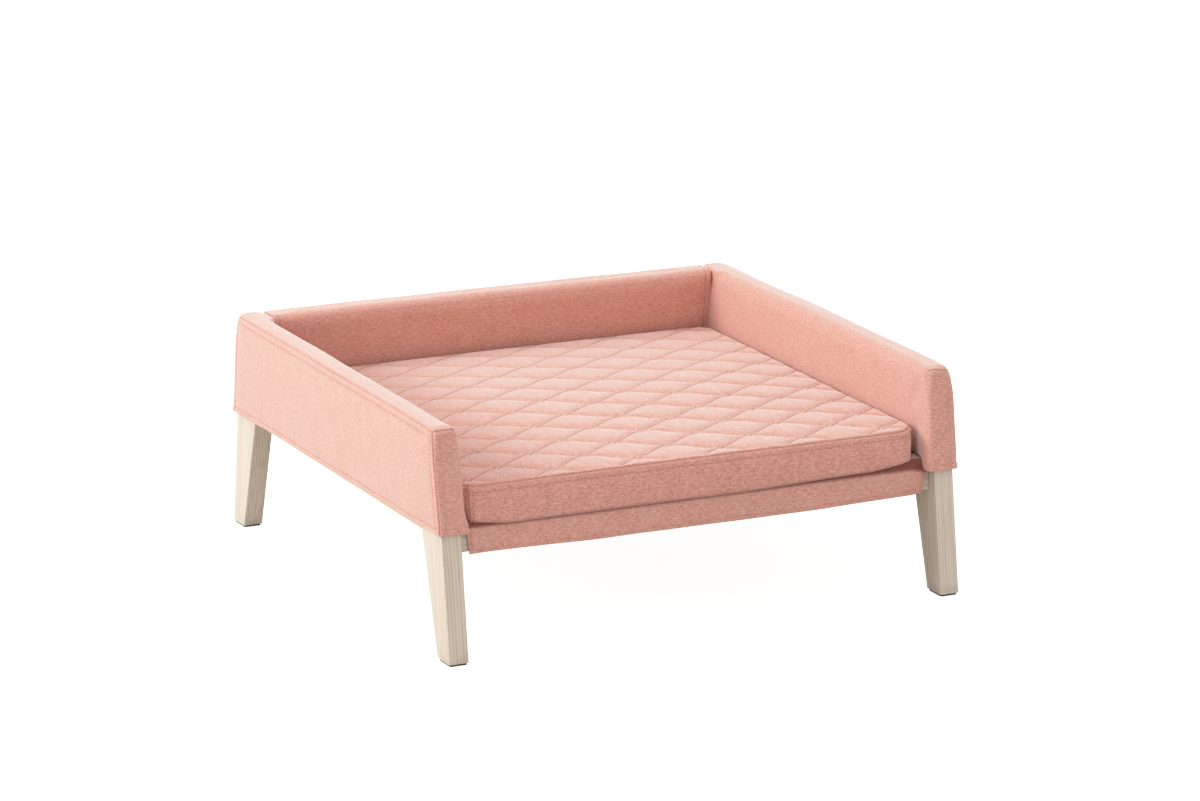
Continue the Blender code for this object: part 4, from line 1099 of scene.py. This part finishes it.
def mattress_shape(p, inset):
    """Puts a flat box of cloth on to the foam: round corners, crowned top, full sides, flat below."""
    low = np.array([MAT_LEFT, MAT_FRONT, MAT_LOW]) + inset
    high = np.array([MAT_RIGHT, MAT_REAR, MAT_SEAM]) - inset
    r = np.full(len(p), max(0.0065 - inset, 0.003))
    below = 1 - smooth(0.30, 0.45, (p[:, 2] - low[2]) / (high[2] - low[2]))
    q = rounded(p, low, high, np.stack([r + 0.002 * below, r, r], 1))
    flat = q[:, :2] - MAT_MID
    half = MAT_HALF - inset
    ring = np.max(np.abs(flat) / half, axis=1)
    turn = (MAT_CORNER + (MAT_CORNER_RIGHT - MAT_CORNER) * ((flat[:, 0] > 0) & (flat[:, 1] < 0))) * ring**5
    limit = ring[:, None] * half - turn[:, None]
    core = np.clip(flat, -limit, limit)
    out = flat - core
    size = np.linalg.norm(out, axis=1)
    way = out / np.maximum(size, 1e-9)[:, None]
    flat = core + way * np.minimum(size, turn)[:, None]
    height = np.clip((p[:, 2] - low[2]) / (high[2] - low[2]), 0, 1)
    on_side = (np.abs(p[:, :2] - MAT_MID) > half - 1e-6).any(1)
    zip_here = 1 - smooth(0.0075, 0.0115, np.abs(p[:, 2] - ZIP_Z))
    zip_here = zip_here * (1 - smooth(ZIP_END, ZIP_END + 0.014, np.abs(p[:, 0])))
    zip_here = zip_here * (p[:, 1] > MAT_REAR - inset - 1e-6)
    full = 0.0019 * np.sin(math.pi * height) ** 0.8 * on_side * (1 - zip_here)
    dents = 0.0006 * uneven(p[:, 0] + p[:, 1], p[:, 2], 131, 0.13) * on_side
    full = full + dents * np.sin(math.pi * height) * (1 - zip_here)
    flat = flat + way * full[:, None]
    q[:, :2] = flat + MAT_MID
    q[:, 1] -= 0.0013 * zip_here
    x, y = q[:, 0], q[:, 1]
    crown = (1 - np.clip(np.abs(x / 0.340), 0, 1) ** 4.06) * (1 - np.clip(np.abs((y + 0.017) / 0.322), 0, 1) ** 2.09)
    lift = 0.0084 * crown + 0.0006 * uneven(x, y, 141, 0.22) * crown
    edge = 0.0022 * smooth(-0.10, -0.33, y) - 0.0012 * smooth(-0.1, 0.33, x)
    q[:, 2] += smooth(0.5, 1.0, height) * edge + (height > 0.999) * lift
    # The front edge bulges and hangs over the rail, least at its two ends.
    over = smooth(-0.3290, -0.3368, p[:, 1])
    hang = 0.0070 + 0.0062 * smooth(-0.330, -0.270, x) - 0.0038 * smooth(0.02, 0.245, x)
    hang = hang - 0.0072 * smooth(0.245, 0.330, x)
    hang = hang + 0.0006 * uneven(x, x * 0, 151, 0.25)
    q[:, 2] -= over**3 * (1 - smooth(0.0, 0.8, height)) * hang
    q[:, 1] -= over * (1 - smooth(0.0, 1.0, height)) * 0.0062
    return q


def quilt_row(row, x):
    """Where the stitched row between crossings row and row + 1 lies in Y."""
    phase = (x - QUILT_X - (row % 2) * QUILT_WIDE / 2) / QUILT_WIDE
    a = 2 * np.abs(phase - np.round(phase))
    wave = 0.45 * (2 * a - 1) - 0.55 * np.cos(math.pi * a)
    wave = wave - 0.26 * ridge(a, 0, 0.065) + 0.26 * ridge(1, a, 0.065)
    return QUILT_Y + QUILT_PITCH * (row + 0.5 + 0.5 * wave)


def quilt_distance(x, y):
    best = np.full(len(x), 1.0)
    for row in range(-3, 17):
        at = quilt_row(row, x)
        slope = (quilt_row(row, x + 0.0005) - quilt_row(row, x - 0.0005)) / 0.001
        best = np.minimum(best, np.abs(y - at) / np.sqrt(1 + slope * slope))
    return best


def mattress_seams(p):
    """Distance from the seams of the top, the bottom and the one upright of the border, on its front near the left
    end.
    """
    end = np.minimum(MAT_HALF[0] - np.abs(p[:, 0] - MAT_MID[0]), MAT_HALF[1] - np.abs(p[:, 1] - MAT_MID[1]))
    on_side = end < 1e-6
    upright = np.where(
        MAT_HALF[1] - np.abs(p[:, 1] - MAT_MID[1]) < 1e-6,
        np.where(p[:, 1] < 0, np.abs(p[:, 0] - MAT_LEFT - 0.006), 1.0),
        1.0,
    )
    far = np.minimum(end, 1.0)
    far[on_side] = np.minimum(np.minimum(MAT_SEAM - p[:, 2], p[:, 2] - MAT_LOW), upright)[on_side]
    return far, on_side


coarse = SewnForm(*mattress_lines(0.0, 0.0062, near=False, high_step=0.0060), closed_below=True)
rest = mattress_shape(coarse.flat, 0.0)
far, on_side = mattress_seams(coarse.flat)
on_top = coarse.flat[:, 2] > MAT_SEAM - 1e-6
near_row = quilt_distance(coarse.flat[:, 0], coarse.flat[:, 1]) < 0.0040
near_zip = (np.abs(coarse.flat[:, 2] - ZIP_Z) < 0.010) & (coarse.flat[:, 1] > MAT_REAR - 1e-6)
held = (far < 1e-6) | (coarse.flat[:, 2] < MAT_LOW + 1e-6) | (on_top & near_row) | near_zip
pushed = give(coarse, rest, held, 2.6, 0.0025, 0.0014, "mattress_give")

box = SewnForm(*mattress_lines(0.0, 0.0023), closed_below=True)
p = box.flat
# The wadding has packed down towards the rear, so the quilting stands highest in front.
loft = 1 - 0.42 * smooth(-0.20, 0.26, p[:, 1])
skin = mattress_shape(p, 0.0) + coarse.read(pushed, p) * loft[:, None]
out = box.facing(skin)
far, on_side = mattress_seams(p)
on_top = p[:, 2] > MAT_SEAM - 1e-6
line = quilt_distance(p[:, 0], p[:, 1])
inward = smooth(0.0, 0.010, far)
puff = 0.0012 * (1 - ridge(line, 0, 0.0050)) + 0.0009 * (1 - ridge(line, 0, 0.015)) - 0.0014
puff = puff - 0.0006 * ridge(line, 0, 0.0014)
crease = np.sin(p[:, 0] * 2 * math.pi / 0.0125 + 3 * np.sin(p[:, 1] * 61) + 2 * np.sin(p[:, 0] * 23))
crease = crease * ridge(line, 0.004, 0.004)
rise = on_top * inward * loft * (puff + 0.00014 * crease)
ripple = np.sin((p[:, 0] + p[:, 1] + p[:, 2]) * 2 * math.pi / 0.0105 + 2 * np.sin((p[:, 0] - p[:, 1]) * 37))
rise = rise - 0.0010 * ridge(far, 0, 0.0012) + 0.0006 * ridge(far, 0.0038, 0.0024)
rise = rise + 0.00018 * ripple * ridge(far, 0.004, 0.005)
high = MAT_SEAM - p[:, 2]
rise = rise - on_side * 0.0004 * ridge(high, 0.0088, 0.0012)
rise = np.where(p[:, 2] < MAT_LOW + 1e-6, np.minimum(rise, 0.0), rise)
skin = skin + out * rise[:, None]
skin[:, 2] = np.where(p[:, 1] > -0.3330, np.maximum(skin[:, 2], MAT_LOW - 0.0002), skin[:, 2])
# The cover cloth again, with slightly deeper colours as painted shade for the quilted top's puffs and hollows.
quilted_cloth = cloth_of("quilted_cloth", (0.812, 0.458, 0.374), (0.468, 0.162, 0.113), 0.0011, 0.22)
# Painted shade in the border's seams and along its topstitch, a painted shadow along the foot of the front lip where
# it rests on the band, and painted shade along the quilting rows.
painted_shade = 0.22 * ridge(far, 0, 0.0011) + on_side * 0.12 * ridge(high, 0.0088, 0.0010)
painted_shade = painted_shade + 0.9 * ridge(p[:, 2], MAT_LOW, 0.0034) * smooth(-0.330, -0.334, p[:, 1])
painted_shade = painted_shade + on_top * 0.05 * ridge(line, 0, 0.0013)
cover = box.piece("mattress_quilted_cover", skin, quilted_cloth, painted_shade=painted_shade)
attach(cover, "mattress")
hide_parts("mattress_cover")

rows = []
for row in range(-2, 16):
    x = np.arange(MAT_LEFT + 0.003, MAT_RIGHT - 0.003, 0.0012)
    y = quilt_row(row, x)
    inside = (y > MAT_FRONT + 0.006) & (y < MAT_REAR - 0.005)
    for part in np.split(np.arange(len(x)), np.flatnonzero(np.diff(inside.astype(int))) + 1):
        if inside[part[0]] and len(part) > 6:
            rows.append(np.stack([x[part], y[part], np.full(len(part), MAT_SEAM)], 1))
sewn("mattress_quilting", box, skin, rows, 0.0032, 0.00062, 0.0056, 0.00118, "mattress", sink=0.10)
z = MAT_SEAM - 0.0088
rows = [
    run((MAT_LEFT + 0.001, MAT_FRONT, z), (MAT_RIGHT - 0.001, MAT_FRONT, z)),
    run((MAT_LEFT + 0.001, MAT_REAR, z), (MAT_RIGHT - 0.001, MAT_REAR, z)),
    run((MAT_LEFT, MAT_FRONT + 0.001, z), (MAT_LEFT, MAT_REAR - 0.001, z)),
    run((MAT_RIGHT, MAT_FRONT + 0.001, z), (MAT_RIGHT, MAT_REAR - 0.001, z)),
    run((MAT_LEFT + 0.014, MAT_FRONT, MAT_LOW + 0.003), (MAT_LEFT + 0.014, MAT_FRONT, z)),
    run((-ZIP_END, MAT_REAR, ZIP_Z + 0.0095), (ZIP_END, MAT_REAR, ZIP_Z + 0.0095)),
    run((-ZIP_END, MAT_REAR, ZIP_Z - 0.0095), (ZIP_END, MAT_REAR, ZIP_Z - 0.0095)),
]
sewn("mattress_topstitch", box, skin, rows, 0.0028, 0.00055, 0.0044, 0.00060, "mattress")


# Mattress foam.
# Cut polyether foam, 45 mm thick and bowed up by the quilted top, a loose fit in its cover.
foam = bpy.data.materials.new("foam")
foam.use_nodes = True
t = foam.node_tree
place = put(t, "ShaderNodeTexCoord").outputs["Object"]
cell = put(t, "ShaderNodeTexVoronoi", {"Vector": place, "Scale": 900.0}).outputs["Distance"]
broad = put(t, "ShaderNodeTexNoise", {"Vector": place, "Scale": 25.0, "Detail": 3.0}).outputs[0]
shade = sums(t, "MULTIPLY_ADD", cell, 0.7, sums(t, "MULTIPLY", broad, 0.5))
colour = mixed(t, between(t, shade, 0.3, 0.9), (0.62, 0.56, 0.40, 1), (0.84, 0.80, 0.66, 1))
t.links.new(colour, t.nodes["Principled BSDF"].inputs["Base Color"])
bump = put(t, "ShaderNodeBump", {"Height": cell, "Strength": 0.6, "Distance": 0.0006})
t.links.new(bump.outputs[0], t.nodes["Principled BSDF"].inputs["Normal"])
t.nodes["Principled BSDF"].inputs["Roughness"].default_value = 0.9
core_box = SewnForm(*mattress_lines(0.0034, 0.012, near=False, high_step=0.008), closed_below=True)
core_skin = mattress_shape(core_box.flat, 0.0034)
core = core_box.piece("mattress_foam_core", core_skin, foam)
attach(core, "mattress")
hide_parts("mattress_foam")


# Zip.
# A closed moulded-tooth zip on woven tape along the mattress's rear border, with a die-cast slider and a
# flat pull tab.
tape = cloth_of("zip_tape", (0.72, 0.40, 0.33), (0.50, 0.22, 0.17), 0.0007, 0.0, bump_mm=0.15, sheen=0.1)
t = tape.node_tree
laid = next(n for n in t.nodes if n.type == "UVMAP")
place = put(t, "ShaderNodeTexCoord").outputs["Object"]
turned = put(t, "ShaderNodeMapping", {"Vector": place, "Rotation": (math.pi / 2, 0, 0)}).outputs[0]
t.links.new(turned, next(n for n in t.nodes if n.type == "GROUP").inputs["Cloth"])
t.nodes.remove(laid)
clad(["mattress_zip_chain"], tape)

zip_metal = bpy.data.materials.new("zip_metal")
zip_metal.use_nodes = True
t = zip_metal.node_tree
place = put(t, "ShaderNodeTexCoord").outputs["Object"]
rub = put(t, "ShaderNodeTexNoise", {"Vector": place, "Scale": 1400.0, "Detail": 3.0}).outputs[0]
wear = put(t, "ShaderNodeTexNoise", {"Vector": place, "Scale": 300.0, "Detail": 2.0}).outputs[0]
colour = mixed(t, between(t, wear, 0.4, 0.65), (0.44, 0.42, 0.40, 1), (0.62, 0.60, 0.57, 1))
t.links.new(colour, t.nodes["Principled BSDF"].inputs["Base Color"])
t.links.new(sums(t, "MULTIPLY_ADD", rub, 0.3, 0.2), t.nodes["Principled BSDF"].inputs["Roughness"])
t.nodes["Principled BSDF"].inputs["Metallic"].default_value = 1.0
bump = put(t, "ShaderNodeBump", {"Height": rub, "Strength": 0.15, "Distance": 0.0002})
t.links.new(bump.outputs[0], t.nodes["Principled BSDF"].inputs["Normal"])
clad(["mattress_zip_slider", "mattress_zip_pull"], zip_metal)

t, given, out = tree_of(
    "zip_teeth",
    [
        ("Tooth Length", "Float", 0.003), ("Tooth Width", "Float", 0.001), ("Pitch", "Float", 0.0013),
        ("Finish", "Material", None),
    ],
)
row = put(t, "GeometryNodeMeshToCurve", {"Mesh": given["Geometry"]}).outputs[0]
row = put(t, "GeometryNodeResampleCurve", {"Curve": row, "Length": given["Pitch"]}, mode="LENGTH").outputs[0]
odd = sums(t, "MODULO", put(t, "GeometryNodeInputIndex").outputs[0], 2.0)
shift = sums(t, "MULTIPLY", sums(t, "MULTIPLY_ADD", odd, 2.0, -1.0), sums(t, "MULTIPLY", given["Tooth Length"], 0.22))
shift = put(t, "ShaderNodeCombineXYZ", {2: shift}).outputs[0]
row = put(t, "GeometryNodeCurveToPoints", {0: row}, mode="EVALUATED").outputs[0]
row = put(t, "GeometryNodeSetPosition", {"Geometry": row, "Offset": shift}).outputs[0]
tooth = put(t, "GeometryNodeMeshUVSphere", {"Segments": 8, "Rings": 5, "Radius": 0.5}).outputs["Mesh"]
size = {0: given["Tooth Width"], 1: given["Tooth Width"], 2: given["Tooth Length"]}
size = put(t, "ShaderNodeCombineXYZ", size).outputs[0]
tooth = put(t, "GeometryNodeTransform", {"Geometry": tooth, "Scale": size}).outputs[0]
spread = put(t, "GeometryNodeInstanceOnPoints", {"Points": row, "Instance": tooth}).outputs[0]
real = put(t, "GeometryNodeRealizeInstances", {0: spread}).outputs[0]
real = put(t, "GeometryNodeSetMaterial", {"Geometry": real, "Material": given["Finish"]}).outputs[0]
t.links.new(real, out.inputs[0])
nylon = thread_of("zip_nylon", (0.60, 0.30, 0.25), (0.50, 0.24, 0.20), True)
chain_low, chain_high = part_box("mattress_zip_chain")
ends = [(chain_low.x + 0.002, chain_high.y, ZIP_Z), (chain_high.x - 0.002, chain_high.y, ZIP_Z)]
grown(
    "mattress_zip_teeth", ends, [(0, 1)], {}, t,
    {"Tooth Length": 0.0030, "Tooth Width": 0.0010, "Pitch": 0.0013, "Finish": nylon}, "mattress",
)


# Floor, lights and camera.
# A plain white floor, one large soft light from the left rear and a weak one overhead.
floor_material = bpy.data.materials.new("floor_white")
floor_material.use_nodes = True
t = floor_material.node_tree
shader = t.nodes["Principled BSDF"]
shader.inputs["Base Color"].default_value = (0.62, 0.62, 0.62, 1)
shader.inputs["Roughness"].default_value = 0.9
shader.inputs["Specular IOR Level"].default_value = 0.0
glow = put(t, "ShaderNodeEmission", {"Color": (1, 1, 1, 1), "Strength": 1.02})
seen = put(t, "ShaderNodeLightPath").outputs["Is Camera Ray"]
dark = put(t, "ShaderNodeEmission", {"Color": (0, 0, 0, 1), "Strength": 0.0})
lit = put(t, "ShaderNodeMixShader", {0: seen, 1: dark.outputs[0], 2: glow.outputs[0]})
both = put(t, "ShaderNodeAddShader", {0: shader.outputs[0], 1: lit.outputs[0]})
t.links.new(both.outputs[0], t.nodes["Material Output"].inputs["Surface"])
m = bpy.data.meshes.new("floor")
m.from_pydata([(-20, -20, 0), (20, -20, 0), (20, 20, 0), (-20, 20, 0)], [], [(0, 1, 2, 3)])
m.materials.append(floor_material)
floor = bpy.data.objects.new("floor", m)
bpy.context.scene.collection.objects.link(floor)
floor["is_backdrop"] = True

world = bpy.data.worlds.new("studio")
bpy.context.scene.world = world
world.use_nodes = True
world.node_tree.nodes["Background"].inputs[0].default_value = (1.0, 0.99, 0.98, 1)
world.node_tree.nodes["Background"].inputs[1].default_value = 1.01


def soft_light(name, place, aim, width, height, power, colour):
    data = bpy.data.lights.new(name, "AREA")
    data.shape, data.size, data.size_y, data.energy, data.color = "RECTANGLE", width, height, power, colour
    light = bpy.data.objects.new(name, data)
    light.location = place
    way = [a - b for a, b in zip(aim, place)]
    light.rotation_euler = Vector(way).to_track_quat("-Z", "Y").to_euler()
    bpy.context.scene.collection.objects.link(light)


soft_light("key", (-3.3, 0.75, 1.9), (0, 0, 0.2), 1.8, 1.4, 93, (1.0, 0.98, 0.96))
soft_light("overhead", (-0.6, 0.8, 3.0), (0, 0, 0.2), 2.4, 2.4, 12, (1.0, 0.99, 0.98))

view = bpy.data.cameras.new("camera")
view.lens, view.sensor_width = 162.85, 36
view.clip_start, view.clip_end = 0.1, 60
camera = bpy.data.objects.new("camera", view)
camera.location = (-3.0672, -6.4823, 2.1425)
way = np.array((-0.01977, -0.08006, 0.24483)) - np.array(camera.location)
camera.rotation_euler = Vector(way).to_track_quat("-Z", "Y").to_euler()
bpy.context.scene.collection.objects.link(camera)
bpy.context.scene.camera = camera
tone = bpy.context.scene.view_settings
tone.view_transform = "Standard"
tone.use_curve_mapping = True
tone.curve_mapping.white_level = (1.3, 1.3, 1.3)
soft_shoulder = tone.curve_mapping.curves[3]
soft_shoulder.points[0].location, soft_shoulder.points[-1].location = (0.0, 0.0), (1.0, 1.0)
for x, y in ((0.154, 0.200), (0.308, 0.400), (0.4615, 0.600), (0.615, 0.775), (0.770, 0.905), (0.900, 0.970)):
    soft_shoulder.points.new(x, y)
tone.curve_mapping.update()

low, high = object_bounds()
